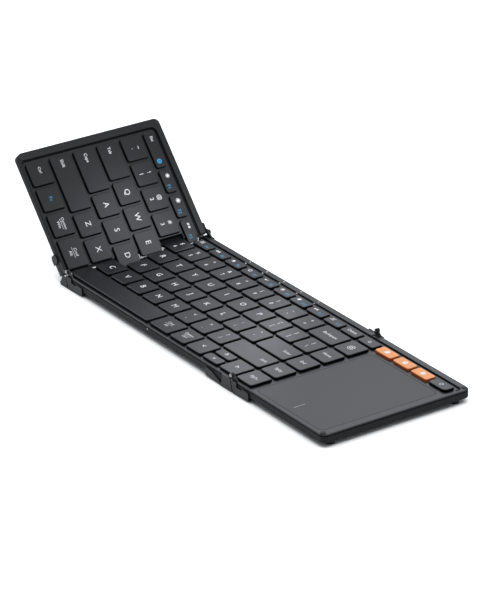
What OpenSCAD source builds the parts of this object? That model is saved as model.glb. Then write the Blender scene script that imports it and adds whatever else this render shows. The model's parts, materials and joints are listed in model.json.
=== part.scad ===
// Tri-fold travel keyboard: three thin panels joined by two hinge lines, with a
// staggered key bed that parts along the fold, and a touchpad on the right panel.
// Layout frame: X runs along the key rows from the left edge of the first column,
// Y runs from the front edge of the bottom row to the back, Z = 0 is the table.

/* [Key bed] */
// Centre distance of two letter keys
key_pitch = 19; // [18.6:0.1:19.4]
// Gap between two neighbouring caps
cap_gap = 2.4; // [2.2:0.1:2.8]
// Gap between a cap and its window in the deck
window_gap = 0.4; // [0.3:0.05:0.5]
// Depth of the function row, front to back
function_row_depth = 10.6; // [10:0.1:12]
// Height of the cap tops above the deck
cap_rise = 1.7; // [1.5:0.1:2]
// Overall height of a cap
cap_height = 2; // [1.9:0.05:2.1]
// Thickness of a cap's top
cap_top = 1; // [0.8:0.05:1.1]
// Thickness of a cap's side walls
cap_wall = 1; // [0.8:0.1:1.2]
// Corner radius of a cap seen from above
cap_corner = 1.5; // [1:0.1:2.5]
// Large outer corner radius of the end key of the function row
end_cap_corner = 3; // [1:0.1:3.5]
// Chamfer along the top edge of a cap
cap_chamfer = 0.3; // [0.2:0.05:0.5]
// Travel of a key from rest to fully pressed
key_travel = 1.1; // [0.8:0.1:1.2]

/* [Panels] */
// Thickness of a panel from its underside to the deck
panel_thickness = 6.2; // [6.1:0.1:7]
// Clearance between the table and the panels
ground_clearance = 3; // [2.6:0.1:3.6]
// Border left of the first key column
left_border = 8.3; // [8:0.1:12]
// Border in front of the bottom row
front_border = 1.2; // [1.1:0.1:2.5]
// Border behind the function row
back_border = 8; // [7.5:0.1:12]
// Border right of the last key of the function row
right_border = 3.6; // [3:0.1:6]
// Corner radius of the outer panel corners
panel_corner = 4; // [3:0.5:6]
// Corner radius beside the folds
fold_corner = 0.8; // [0.5:0.1:1.5]
// Chamfer along the top edge of a panel
deck_chamfer = 0.5; // [0.3:0.1:0.7]
// Chamfer along the bottom edge of a panel
shell_chamfer = 0.7; // [0.4:0.1:0.9]
// Thickness of the deck with its key windows
deck_thickness = 1.6; // [1.4:0.1:1.8]
// Wall of the bottom shells
shell_wall = 1.2; // [1:0.1:1.4]
// Floor of the bottom shells
shell_floor = 1; // [0.8:0.1:1.1]
// Gap between two panels when flat
fold_gap = 0.5; // [0.4:0.1:0.8]
// Height of the skirt that seats a top frame in its shell
skirt_height = 1.2; // [0.8:0.1:1.4]
// Wall of that skirt
skirt_wall = 0.8; // [0.6:0.1:1]
// Gap between two seated parts of one panel
seat_gap = 0.1; // [0.05:0.05:0.2]
// Height of the shadow line between a deck and its shell
seam_height = 0.5; // [0.3:0.1:0.8]
// Depth of that shadow line
seam_depth = 0.4; // [0.2:0.1:0.6]

/* [Groove round the key bed] */
// Width of the groove
groove_width = 1.8; // [1:0.1:2.2]
// Depth of the groove
groove_depth = 0.9; // [0.5:0.1:1]
// Strip of deck between the groove and the windows
groove_lip = 1; // [0.8:0.1:1.4]
// Width of the groove behind the function row
back_groove_width = 2.5; // [1:0.1:2.5]
// Strip of deck between that groove and the windows
back_groove_lip = 1.6; // [0.8:0.1:1.6]
// Corner radius of the groove's inner edge
groove_corner = 2.6; // [2:0.1:3.5]

/* [Folds] */
// Left fold axis, in key pitches from the first column
left_fold = 4.25; // [4.25]
// Right fold axis, in key pitches from the first column
right_fold = 14.5; // [14.5]
// Height of the fold axes above the cap tops
axis_rise = 0.9; // [0.7:0.1:1.4]
// Angle at which the left panel stands up at rest
rest_angle = 48; // [0:1:90]
// Clearance round the sweep of an overhanging key
sweep_gap = 0.17; // [0.15:0.01:0.3]
// Wall of the scoops that the overhanging keys swing through
scoop_wall = 0.9; // [0.7:0.1:1]

/* [Hinges] */
// Radius of the hinge pins
pin_radius = 0.8; // [0.7:0.05:0.9]
// Radial running clearance of a pin
pin_clearance = 0.04; // [0.02:0.01:0.08]
// Outer radius of the hinge eyes
eye_radius = 1.6; // [1.5:0.05:1.7]
// Thickness of a hinge leaf
leaf_thickness = 0.9; // [0.8:0.1:1.2]
// Thickness of the inner eye
inner_eye = 1.1; // [1:0.1:1.2]
// Side gap between the two eyes of a hinge
eye_gap = 0.3; // [0.2:0.05:0.35]
// Radius of the pin's rounded head
head_radius = 1.2; // [1.1:0.05:1.3]
// Thickness of the pin's head
head_thickness = 0.4; // [0.3:0.1:0.5]
// Length of the long leaf
long_leaf_length = 30; // [24:0.5:36]
// Length of the short leaf
short_leaf_length = 19.2; // [17:0.2:24]
// Depth of the shoes under the panels
shoe_depth = 7; // [5:0.5:12]
// Gap between the two leaves of a hinge
leaf_gap = 0.5; // [0.4:0.1:0.8]
// Distance from the fold axis to the start of the long leaf's notch
notch_start = 22; // [20:0.2:24]
// Distance from the fold axis to the lowest point of that notch
notch_floor = 11.1; // [10.8:0.1:12]
// Width of the post beside that notch
post_reach = 9.9; // [8:0.1:10.4]
// Length of the long leaf's foot on the table
foot_reach = 12.3; // [11:0.1:14]
// Reach of the arm that carries the inner eye
arm_reach = 6; // [5:0.1:7]
// Distance from the fold axis to the hump of the short leaf
hump_start = 13; // [12:0.1:15]
// Reach of the centre panel's post under the left panel
post_foot = 8.4; // [6:0.1:10]
// Reach of the arm that hangs the left panel's eye on its wall
wall_arm = 8; // [5:0.1:12]
// Length of the left panel's leaf
hump_leaf_length = 15.5; // [14.5:0.1:20]

/* [Touchpad] */
// Strip of deck between the key column and the touchpad
pad_left_strip = 3.1; // [1:0.1:8]
// Strip of deck right of the touchpad
pad_right_strip = 6.5; // [4:0.1:12]
// Strip of deck in front of the touchpad
pad_front_strip = 3.2; // [2.8:0.1:8]
// Strip of deck between the touchpad and the function row
pad_back_strip = 2.6; // [1:0.1:8]
// Corner radius of the touchpad
pad_corner = 4; // [3:0.5:6]
// Seam between the touchpad and the deck
pad_seam = 0.3; // [0.2:0.05:0.4]
// Thickness of the touchpad's surface plate
pad_plate = 1; // [0.8:0.1:1.2]
// Thickness of the touchpad's circuit board
pad_board = 0.8; // [0.6:0.1:1]
// Click travel of the touchpad
pad_travel = 0.3; // [0.2:0.05:0.35]

/* [Feet and bumpers] */
// Radius of the rubber feet's round ends
foot_radius = 3; // [2.5:0.1:3.5]
// Length of the feet along the panel, beyond their width
foot_stretch = 5; // [0:0.5:12]
// Distance of the feet from the outer edge
foot_inset = 5.2; // [4.5:0.1:8]
// Distance of the feet from the front and back edges
foot_end_inset = 9; // [8:0.5:20]
// Radius of the rubber bumpers in the outer corners
bumper_radius = 1.8; // [1.5:0.1:1.9]
// Height of a bumper above the deck
bumper_rise = 0.4; // [0.2:0.1:0.8]
// Depth of a bumper's seat in the deck
bumper_seat = 0.6; // [0.4:0.1:0.8]
// Distance of the bumpers from the side edge
bumper_inset = 3.5; // [3.2:0.1:4]
// Distance of the bumpers from the front or back edge
bumper_end_inset = 2.7; // [2.6:0.1:2.8]

/* [Inside] */
// Thickness of the steel plates under the keys
plate_thickness = 0.4; // [0.3:0.1:0.5]
// Height of the ribs that carry the plates
plate_rib_height = 1.2; // [1:0.1:1.3]
// Width of those ribs
plate_rib = 0.8; // [0.6:0.1:1.2]
// Thickness of the switch sheets
sheet_thickness = 0.3; // [0.2:0.05:0.4]
// Base radius of a rubber dome
dome_radius = 1.8; // [1.5:0.1:1.8]
// Height of a rubber dome
dome_height = 2; // [1.4:0.1:2.1]
// Thickness of the scissor legs
leg_thickness = 0.5; // [0.4:0.05:0.6]
// Width of a scissor leg's bars
leg_bar = 0.5; // [0.4:0.05:0.6]
// Width of a pair of scissor legs
leg_width = 11; // [9:0.5:12]
// Depth of a pair of scissor legs
leg_depth = 9; // [8:0.5:10]
// Radius of the case screws
screw_radius = 0.6; // [0.5:0.05:0.65]
// Radius of the screw heads
screw_head = 1.2; // [1:0.1:1.3]
// Outer radius of the screw bosses
boss_radius = 1.1; // [1:0.05:1.15]
// Battery width
battery_width = 60; // [40:1:62]
// Battery depth
battery_depth = 40; // [30:1:44]
// Battery thickness
battery_thickness = 2.6; // [2:0.1:2.8]
// Main circuit board width
board_width = 60; // [40:1:62]
// Main circuit board depth
board_depth = 30; // [20:1:34]
// Main circuit board thickness
board_thickness = 0.8; // [0.6:0.1:1]
// Width of the charging socket
port_width = 8.9; // [8.9]
// Height of the charging socket
port_height = 2.9; // [2.8:0.05:3]
// Depth of the charging socket
port_depth = 6.5; // [5.5:0.1:7]
// Distance of the charging socket from the right edge
port_inset = 30; // [20:1:60]
// Radius of the status light in the front wall
light_radius = 0.6; // [0.4:0.1:0.9]

/* [Hidden] */
$fn = 48;
eps = 0.01;

// Heights above the table
deck_z = ground_clearance + panel_thickness;
key_top_z = deck_z + cap_rise;
axis_z = key_top_z + axis_rise;
seam_z = deck_z - deck_thickness;
floor_z = ground_clearance + shell_floor;
plate_z = floor_z + plate_rib_height;
sheet_z = plate_z + plate_thickness;
sheet_top_z = sheet_z + sheet_thickness;
leg_z = sheet_top_z + seat_gap / 2;

// Plan positions
left_axis = left_fold * key_pitch;
right_axis = right_fold * key_pitch;
front_y = -front_border;
function_y = 5 * key_pitch;
bed_back = function_y + function_row_depth;
back_y = bed_back + back_border;
left_x = -left_border;
right_x = right_axis + 5 * key_pitch + right_border;
centre_y = (front_y + back_y) / 2;
fold_half = fold_gap / 2;
window_margin = cap_gap / 2 - window_gap;
pad_x0 = right_axis + key_pitch + pad_left_strip;
pad_y0 = front_y + pad_front_strip;
pad_width = right_x - pad_right_strip - pad_x0;
pad_depth = function_y - pad_back_strip - pad_y0;

// Key rows from the front: widths in key pitches, and where each row starts
LEFT = 0;
CENTRE = 1;
RIGHT = 2;
starts = [
    [0, 0, 0, 0, 0, 0],
    [left_fold, left_fold, left_fold + 0.5, left_fold + 0.25, left_fold - 0.25, left_fold + 0.25],
    [right_fold, right_fold, right_fold, right_fold, right_fold, right_fold]];
widths = [
    [[1, 1, 1, 1.25], [2.25, 1, 1], [1.75, 1, 1, 1], [1.5, 1, 1, 1], [1, 1, 1, 1], [1.5, 1, 1, 1]],
    [[5, 1.25, 1, 1, 1, 1], [1, 1, 1, 1, 1, 1, 1, 1, 2.25], [1, 1, 1, 1, 1, 1, 1, 1, 1.75],
     [1, 1, 1, 1, 1, 1, 1, 1, 1, 1], [1, 1, 1, 1, 1, 1, 1, 1, 1, 1.5],
     [1, 1, 1, 1, 1, 1, 1, 1, 1, 1]],
    [[1], [1], [1], [1], [1], [1, 1, 1, 1, 1]]];
FUNCTION_ROW = 5;
ARROW_COLUMN = 4;

// Extent of each panel along X, and how far its inside reaches
panel_x0 = [left_x, left_axis + fold_half, right_axis + fold_half];
panel_x1 = [left_axis - fold_half, right_axis - fold_half, right_x];
inner_x0 = [for (x = panel_x0) x + shell_wall + seat_gap];
inner_x1 = [for (x = panel_x1) x - shell_wall - seat_gap];

// Sweep of the overhanging keys about the left fold axis, with the key pressed
cap_drop = axis_rise + cap_height + key_travel;
long_sweep = norm([0.5 * key_pitch - cap_gap / 2, cap_drop]) + sweep_gap;
short_sweep = norm([0.25 * key_pitch - cap_gap / 2, cap_drop]) + sweep_gap;

// Leaves, shoes and eyes
leaf_front = front_y - leaf_thickness;
eye_back = front_y + eye_gap + inner_eye;
post_gap = 0.9;
plate_gap = 0.3;
shoe_rise = 0.5;
drop = axis_z;
deck_drop = axis_z - deck_z;
under_drop = axis_z - ground_clearance;
pocket_drop = deck_drop + 3;

// Places of the screws, in the layout frame
left_screw_places = [[left_x + 4.2, 1.5 * key_pitch], [left_x + 4.2, 4 * key_pitch]];
centre_screw_places = [for (u = [6.25, 9.25, 12.25]) [u * key_pitch, 2 * key_pitch]];
right_screw_places = [[right_x - 3, 1.5 * key_pitch], [right_x - 3, 4 * key_pitch]];

// The origin is the middle of the object's footprint at rest, on the table
raised_x = left_axis - (left_axis - left_x - foot_inset + foot_radius) * cos(rest_angle)
    - axis_z * sin(rest_angle);
origin_x = (raised_x + right_x) / 2;

function sum_to(list, n) = n <= 0 ? 0 : list[n - 1] + sum_to(list, n - 1);
function key_x0(panel, row, i) = (starts[panel][row] + sum_to(widths[panel][row], i)) * key_pitch;
function key_x1(panel, row, i) = key_x0(panel, row, i) + widths[panel][row][i] * key_pitch;
function row_y0(row) = row * key_pitch;
function row_depth(row) = row == FUNCTION_ROW ? function_row_depth : key_pitch;
function row_y1(row) = row_y0(row) + row_depth(row);
function keys_in(panel, row) = len(widths[panel][row]) - 1;
function clamp_to(v, low, high) = min(max(v, low), high);
function is_split(panel, row, i) = panel == CENTRE && row == 0 && i == ARROW_COLUMN;
function sites(panel) = [
    for (row = [0:FUNCTION_ROW], i = [0:keys_in(panel, row)])
        each is_split(panel, row, i)
            ? [for (half = [0, 1]) [key_x0(panel, row, i), key_x1(panel, row, i),
                                    half * key_pitch / 2, (half + 1) * key_pitch / 2]]
            : [[key_x0(panel, row, i), key_x1(panel, row, i), row_y0(row), row_y1(row)]]];
function leg_span(panel, x0, x1) =
    let (mid = (x0 + x1) / 2,
         least = 2 * (dome_radius + 2 * leg_bar + 2 * seat_gap),
         b = min(max(mid + leg_width / 2, inner_x0[panel] + least), inner_x1[panel] - seat_gap),
         a = max(min(mid - leg_width / 2, b - least), inner_x0[panel] + seat_gap))
    [a, b];

// ---------------------------------------------------------------- placing

module in_world() {
    translate([-origin_x, -centre_y, 0]) children();
}

module raised() {
    in_world()
        translate([left_axis, 0, axis_z]) rotate([0, rest_angle, 0])
            translate([-left_axis, 0, -axis_z]) children();
}

module both_ends() {
    children();
    translate([0, 2 * centre_y, 0]) mirror([0, 1, 0]) children();
}

// ---------------------------------------------------------------- shapes

// Rounded rectangle from corner a to corner b; radii run front left, front right,
// back right, back left
module rounded_area(a, b, r) {
    w = b[0] - a[0];
    d = b[1] - a[1];
    difference() {
        translate(a) square([w, d]);
        translate(a) corner_cut(r[0], 0);
        translate([b[0], a[1]]) corner_cut(r[1], 90);
        translate(b) corner_cut(r[2], 180);
        translate([a[0], b[1]]) corner_cut(r[3], 270);
    }
}

// What a rounded corner of radius r takes away at the origin, turned by turn
module corner_cut(r, turn) {
    rotate(turn) difference() {
        translate([-eps, -eps]) square(r + eps);
        translate([r, r]) circle(r);
    }
}

module slab(a, b, r, z0, z1) {
    translate([0, 0, z0]) linear_extrude(z1 - z0) rounded_area(a, b, r);
}

// Slab whose top edge is chamfered all round
module chamfered_slab(a, b, r, z0, z1, c) {
    difference() {
        slab(a, b, r, z0, z1);
        for (side = [0, 1]) {
            translate([side ? b[0] : a[0], a[1], z1]) edge_cut(b[1] - a[1], c);
            translate([a[0], side ? b[1] : a[1], z1]) rotate(-90) edge_cut(b[0] - a[0], c);
        }
        translate([a[0] + r[0], a[1] + r[0], z1]) round_edge_cut(r[0], c, 180);
        translate([b[0] - r[1], a[1] + r[1], z1]) round_edge_cut(r[1], c, 270);
        translate([b[0] - r[2], b[1] - r[2], z1]) round_edge_cut(r[2], c, 0);
        translate([a[0] + r[3], b[1] - r[3], z1]) round_edge_cut(r[3], c, 90);
    }
}

// Prism along +Y that chamfers an edge at its origin
module edge_cut(length, c) {
    translate([0, length + 1, 0]) rotate([90, 0, 0]) linear_extrude(length + 2)
        polygon([[-c, 0], [0, -c], [c, 0], [0, c]]);
}

// Quarter ring that carries the chamfer round a corner of radius r
module round_edge_cut(r, c, turn) {
    rotate(turn) rotate_extrude(angle = 90)
        polygon([[r - c, eps], [r - c, 0], [r, -c], [r + 1, -c], [r + 1, eps]]);
}

// ---------------------------------------------------------------- key bed

module cap(x0, x1, y0, y1, corners) {
    a = [x0 + cap_gap / 2, y0 + cap_gap / 2];
    b = [x1 - cap_gap / 2, y1 - cap_gap / 2];
    w = [cap_wall, cap_wall];
    z0 = key_top_z - cap_height;
    difference() {
        chamfered_slab(a, b, corners, z0, key_top_z, cap_chamfer);
        translate([0, 0, -1]) slab(a + w, b - w, [0.5, 0.5, 0.5, 0.5], z0, z0 + cap_height - cap_top + 1);
    }
}

// The caps of one row, from the key numbered first to the key numbered last
module caps(panel, row, first, last) {
    r = cap_corner;
    for (i = [first:last])
        cap(key_x0(panel, row, i), key_x1(panel, row, i), row_y0(row), row_y1(row), [r, r, r, r]);
}

module windows(panel) {
    m = window_margin;
    r = cap_corner + window_gap;
    for (row = [0:FUNCTION_ROW], i = [0:keys_in(panel, row)])
        slab([key_x0(panel, row, i) + m, row_y0(row) + m], [key_x1(panel, row, i) - m, row_y1(row) - m],
             [r, r, r, r], seam_z - skirt_height, deck_z + 1);
}

module rib_between_arrows() {
    x0 = key_x0(CENTRE, 0, ARROW_COLUMN) + window_margin;
    translate([x0 - eps, key_pitch / 2 - window_margin, seam_z])
        cube([key_pitch - 2 * window_margin + 2 * eps, 2 * window_margin, deck_thickness]);
}

module dome(x, y) {
    translate([x, y, sheet_top_z - eps])
        cylinder(h = dome_height, r1 = dome_radius, r2 = dome_radius * 0.6);
}

module loop_leg(a, b) {
    difference() {
        translate([a[0], a[1], leg_z]) cube([b[0] - a[0], b[1] - a[1], leg_thickness]);
        translate([a[0] + leg_bar, a[1] + leg_bar, leg_z - 1])
            cube([b[0] - a[0] - 2 * leg_bar, b[1] - a[1] - 2 * leg_bar, leg_thickness + 2]);
    }
}

// Each key's two scissor legs lie nested, one loop inside the other
module scissor_legs(panel) {
    inset = leg_bar + seat_gap;
    for (site = sites(panel)) {
        span = leg_span(panel, site[0], site[1]);
        half = min(leg_depth, (site[3] - site[2]) * 0.64) / 2;
        mid = (site[2] + site[3]) / 2;
        loop_leg([span[0], mid - half], [span[1], mid + half]);
        loop_leg([span[0] + inset, mid - half + inset], [span[1] - inset, mid + half - inset]);
    }
}

module domes(panel) {
    for (site = sites(panel)) {
        span = leg_span(panel, site[0], site[1]);
        dome((span[0] + span[1]) / 2, (site[2] + site[3]) / 2);
    }
}

// ---------------------------------------------------------------- panels

function outer_radii(panel) =
    panel == LEFT ? [panel_corner, fold_corner, fold_corner, panel_corner]
    : panel == RIGHT ? [fold_corner, panel_corner, panel_corner, fold_corner]
    : [fold_corner, fold_corner, fold_corner, fold_corner];

// Volume that an overhanging key sweeps, or its wall when grown
module sweep(radius, row, grow) {
    translate([left_axis, row_y0(row) - grow, axis_z]) rotate([-90, 0, 0])
        cylinder(h = row_depth(row) + 2 * grow, r = radius + grow);
}

// The scoops in one panel: the long overhang is in the third row, the short ones
// in the fourth and in the function row, and the number row overhangs the other way
module scoops(panel, grow) {
    if (panel == LEFT) sweep(short_sweep, 4, grow);
    if (panel == CENTRE) {
        sweep(long_sweep, 2, grow);
        sweep(short_sweep, 3, grow);
        sweep(short_sweep, FUNCTION_ROW, grow);
    }
}

// Room for the inner eye and its arm, on the panel that carries the short leaves
module eye_pocket(axis) {
    both_ends()
        translate([axis - eye_radius - 1, front_y - 1, axis_z - pocket_drop])
            cube([arm_reach + eye_radius + 1 + seat_gap, eye_back + seat_gap - front_y + 1,
                  pocket_drop + 1]);
}

module eye_pockets(panel) {
    if (panel == CENTRE) eye_pocket(left_axis);
    if (panel == RIGHT) eye_pocket(right_axis);
}

// Plan area just inside the shell walls
module inside(panel, z0, z1, gap) {
    w = shell_wall + gap;
    r = max(panel_corner - w, 0.3);
    radii = [for (q = outer_radii(panel)) q == panel_corner ? r : 0.3];
    slab([panel_x0[panel] + w, front_y + w], [panel_x1[panel] - w, back_y - w], radii, z0, z1);
}

// Ribs under the steel plate; the right panel has them beside and behind its touchpad
module plate_ribs(panel) {
    x0 = panel_x0[panel] + shell_wall / 2;
    x1 = panel_x1[panel] - shell_wall / 2;
    for (row = [1:FUNCTION_ROW]) {
        reach = panel == RIGHT && row < FUNCTION_ROW ? key_x1(RIGHT, 0, 0) : x1;
        translate([x0, row_y0(row) - plate_rib / 2, floor_z - eps])
            cube([reach - x0, plate_rib, plate_rib_height + eps]);
    }
}

module screw_holes(places) {
    for (p = places) translate([p[0], p[1], ground_clearance]) {
        translate([0, 0, -1]) cylinder(h = shell_floor + 2, r = screw_radius + seat_gap);
        translate([0, 0, -1]) cylinder(h = 1 + shell_floor / 2, r = screw_head + seat_gap);
    }
}

module screws(places) {
    for (p = places) translate([p[0], p[1], ground_clearance]) {
        cylinder(h = seam_z - ground_clearance - 1, r = screw_radius);
        difference() {
            cylinder(h = shell_floor / 2, r = screw_head);
            translate([0, 0, -eps]) cylinder(h = shell_floor / 4, r = screw_radius * 0.7, $fn = 6);
        }
    }
}

module bosses(places) {
    for (p = places) translate([p[0], p[1], floor_z + seat_gap])
        cylinder(h = seam_z - floor_z - seat_gap + eps, r = boss_radius);
}

module boss_bores(places) {
    for (p = places)
        translate([p[0], p[1], floor_z])
            cylinder(h = seam_z - floor_z - seat_gap, r = screw_radius + 0.02);
}

module boss_clearance(places) {
    for (p = places)
        translate([p[0], p[1], floor_z])
            cylinder(h = seam_z - floor_z, r = boss_radius + seat_gap);
}

module shell(panel, places) {
    difference() {
        union() {
            difference() {
                translate([0, 0, seam_z + ground_clearance]) mirror([0, 0, 1])
                    chamfered_slab([panel_x0[panel], front_y], [panel_x1[panel], back_y],
                                   outer_radii(panel), ground_clearance, seam_z, shell_chamfer);
                inside(panel, floor_z, seam_z + 1, 0);
            }
            if (panel != RIGHT)
                intersection() {
                    scoops(panel, scoop_wall);
                    inside(panel, floor_z - eps, seam_z, -eps);
                }
            plate_ribs(panel);
        }
        scoops(panel, 0);
        eye_pockets(panel);
        screw_holes(places);
        boss_clearance(places);
    }
}

module groove(panel) {
    w = groove_width;
    a = [panel == LEFT ? -groove_lip : panel_x0[panel] - key_pitch, window_margin - groove_lip];
    b = [panel == RIGHT ? key_x1(RIGHT, FUNCTION_ROW, 4) - window_margin + groove_lip
         : panel_x1[panel] + key_pitch, bed_back - window_margin + back_groove_lip];
    r = groove_corner;
    difference() {
        if (panel == LEFT)
            slab(a - [w, 0], b + [0, back_groove_width], [r, r, r + w, r + w],
                 deck_z - groove_depth, deck_z + 1);
        else
            slab(a + [0, function_y], b + [panel == RIGHT ? w : 0, back_groove_width], [r, r, r + w, r],
                 deck_z - groove_depth, deck_z + 1);
        slab(a, b, [r, r, r, r], deck_z - groove_depth - 1, deck_z + 2);
        if (panel == RIGHT)
            translate([b[0] - r, 0, deck_z - groove_depth - 1]) cube([2 * r + w, b[1] - r, 4]);
    }
}

module skirt(panel) {
    difference() {
        inside(panel, seam_z - skirt_height, seam_z + eps, seat_gap);
        inside(panel, seam_z - skirt_height - 1, seam_z + 1, seat_gap + skirt_wall);
    }
}

module frame(panel, places) {
    difference() {
        union() {
            chamfered_slab([panel_x0[panel], front_y], [panel_x1[panel], back_y],
                           outer_radii(panel), seam_z, deck_z, deck_chamfer);
            skirt(panel);
            bosses(places);
        }
        windows(panel);
        groove(panel);
        seam_line(panel);
        scoops(panel, 0);
        if (panel != RIGHT) skirt_relief(panel);
        eye_pockets(panel);
        boss_bores(places);
    }
}

// Shadow line that runs round a panel where its deck meets its shell
module seam_line(panel) {
    a = [panel_x0[panel], front_y];
    b = [panel_x1[panel], back_y];
    w = [seam_depth, seam_depth];
    inner = [for (r = outer_radii(panel)) max(r - seam_depth, 0.3)];
    difference() {
        slab(a - w, b + w, [0.3, 0.3, 0.3, 0.3], seam_z - 1, seam_z + seam_height);
        slab(a + w, b - w, inner, seam_z - 2, seam_z + 1);
    }
}

// The skirt stops short of the scoop walls
module skirt_relief(panel) {
    intersection() {
        scoops(panel, scoop_wall + seat_gap);
        translate([0, 0, seam_z - skirt_height - 1]) cube([right_x, back_y, skirt_height + 1]);
    }
}

module plate_area(panel, x1, z0, z1) {
    difference() {
        slab([inner_x0[panel] + seat_gap, shell_wall + seat_gap], [x1, bed_back],
             [0.3, 0.3, 0.3, 0.3], z0, z1);
        scoops(panel, scoop_wall + seat_gap);
    }
}

module support_plate(panel, x1, places) {
    difference() {
        plate_area(panel, x1, plate_z, sheet_z);
        boss_clearance(places);
    }
}

module switch_sheet(panel, x1, places) {
    difference() {
        plate_area(panel, x1, sheet_z, sheet_top_z);
        boss_clearance(places);
    }
    domes(panel);
}

// ---------------------------------------------------------------- hinges

// Side view of the long leaf about the fold axis: a foot plate, a slanting web
// and the post that rises to the eye
module long_leaf_profile() {
    difference() {
        union() {
            polygon([
                [-long_leaf_length + 1.7, -deck_drop - 2.3], [-notch_start, -deck_drop - 3],
                [-notch_floor, -drop + 1.8], [-post_reach, -deck_drop - 2.6],
                [-post_reach, -deck_drop + 0.1], [-3.4, -deck_drop + 0.1],
                [-eye_radius, -0.2], [0, 0], [-1.3, -deck_drop + 0.4], [1.8 - leaf_gap, -drop + 1.2],
                [-0.8, -drop], [-foot_reach, -drop], [-foot_reach - 1, -drop + shoe_rise],
                [-long_leaf_length + 1.6, -drop + 1.4], [-long_leaf_length, -drop + 3.2]]);
            circle(eye_radius);
        }
        circle(pin_radius + pin_clearance);
    }
}

// Side view of the short leaf's face plate: a low step, then a hump over the shoe
module short_leaf_profile() {
    polygon([
        [-0.9 + leaf_gap, -deck_drop - 0.2], [1.8 + leaf_gap, -drop + 1.2],
        [2.4 + leaf_gap, -drop], [arm_reach - 1, -drop],
        [short_leaf_length, -drop + 1.2], [short_leaf_length, -deck_drop - 3.6],
        [short_leaf_length - 0.9, -deck_drop - 2.8], [hump_start, -deck_drop - 2.3],
        [hump_start - 2, -deck_drop - 3.7],
        [arm_reach, -deck_drop - 3.4], [arm_reach, -deck_drop - 0.2]]);
}

module inner_eye_profile() {
    difference() {
        union() {
            circle(eye_radius);
            polygon([[0, 0], [eye_radius * 0.9, eye_radius * 0.4], [arm_reach, -deck_drop - 0.2],
                     [arm_reach, -pocket_drop + seat_gap], [1.4, -pocket_drop + seat_gap],
                     [0.5, -deck_drop], [-0.5 * eye_radius, -0.8 * eye_radius]]);
        }
        circle(pin_radius + pin_clearance);
    }
}

// Side view of the left panel's eye and the slim arm that hangs it on the wall
module wall_eye_profile() {
    difference() {
        union() {
            polygon([[-wall_arm, -deck_drop + 0.1], [-wall_arm, -deck_drop - 1.3],
                     [-0.5, -deck_drop - 1.3], [0, 0], [-eye_radius, -0.2], [-3.4, -deck_drop + 0.1]]);
            circle(eye_radius);
        }
        circle(pin_radius + pin_clearance);
    }
}

// Side view of the left panel's leaf: a hump over the shoe, short of the post
module hump_leaf_profile() {
    polygon([
        [-hump_leaf_length, -drop + 1.2], [-hump_leaf_length, -deck_drop - 4],
        [-hump_leaf_length + 1.2, -deck_drop - 2.9], [-hump_leaf_length + 4.4, -deck_drop - 2.5],
        [-post_foot - post_gap, -deck_drop - 3.9], [-post_foot - post_gap, -drop],
        [-hump_leaf_length + 2.2, -drop]]);
}

// Side view of the post that reaches from the centre panel's leaf under the left panel
module post_profile() {
    polygon([
        [-0.6, -deck_drop - 1.7], [1.8 - leaf_gap, -drop + 1.2], [3.4, -drop + 1.2], [3.4, -drop],
        [-post_foot + 1.6, -drop], [-post_foot, -drop + 1.8],
        [-post_foot + 1.7, -drop + 3.4], [-post_foot + 3.5, -deck_drop - 1.7]]);
}

// Extrudes a side view from y0 to y1 about a fold axis
module across(axis, y0, y1) {
    translate([axis, y1, axis_z]) rotate([90, 0, 0]) linear_extrude(y1 - y0) children();
}

module long_leaves(axis) {
    both_ends() {
        across(axis, leaf_front, front_y) long_leaf_profile();
        across(axis, front_y - eps, front_y + shoe_depth)
            intersection() {
                long_leaf_profile();
                polygon([[-long_leaf_length, -under_drop], [-0.9, -under_drop],
                         [-0.9, -drop], [-long_leaf_length, -drop]]);
            }
    }
}

// The left panel's eyes, and its leaves with the shoes under the panel
module hump_leaves(axis) {
    both_ends() {
        across(axis, leaf_front, front_y) wall_eye_profile();
        across(axis, leaf_front, front_y) hump_leaf_profile();
        across(axis, front_y - eps, front_y + shoe_depth)
            intersection() {
                hump_leaf_profile();
                translate([-hump_leaf_length, -drop]) square([hump_leaf_length, drop - under_drop]);
            }
        across(axis, front_y + plate_gap, front_y + shoe_depth)
            polygon([[-post_foot - post_gap - eps, -under_drop], [-0.9, -under_drop],
                     [-0.9, -drop], [-post_foot - post_gap - eps, -drop]]);
    }
}

// Posts stand clear of the left panel's wall
module posts(axis) {
    both_ends() across(axis, leaf_front, front_y - plate_gap) post_profile();
}

module short_leaves(axis) {
    both_ends() {
        across(axis, leaf_front, front_y) short_leaf_profile();
        across(axis, front_y - eps, front_y + shoe_depth)
            intersection() {
                short_leaf_profile();
                polygon([[3, -under_drop], [short_leaf_length, -under_drop],
                         [short_leaf_length, -drop], [3, -drop]]);
            }
        across(axis, front_y - eps, front_y + eye_gap + eps)
            polygon([[3.4, -deck_drop - 0.4], [arm_reach, -deck_drop - 0.4],
                     [arm_reach, -pocket_drop + seat_gap], [3.4, -pocket_drop + seat_gap]]);
        across(axis, front_y + eye_gap, eye_back) inner_eye_profile();
    }
}

module hinge_pins(axis) {
    both_ends() {
        translate([axis, leaf_front, axis_z]) rotate([-90, 0, 0])
            cylinder(h = eye_back - leaf_front, r = pin_radius);
        translate([axis, leaf_front, axis_z]) rotate([90, 0, 0])
            cylinder(h = head_thickness, r1 = head_radius, r2 = head_radius - 0.3);
    }
}

// ---------------------------------------------------------------- rubber

// Two slot-shaped pads; inward is 1 or -1, the way from the outer edge to the fold
module feet(x, inward) {
    for (y = [front_y + foot_end_inset, back_y - foot_end_inset])
        translate([x, y, 0]) {
            cylinder(h = ground_clearance, r = foot_radius);
            translate([inward * foot_stretch, 0, 0]) cylinder(h = ground_clearance, r = foot_radius);
            translate([min(0, inward * foot_stretch), -foot_radius, 0])
                cube([foot_stretch, 2 * foot_radius, ground_clearance]);
        }
}

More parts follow.
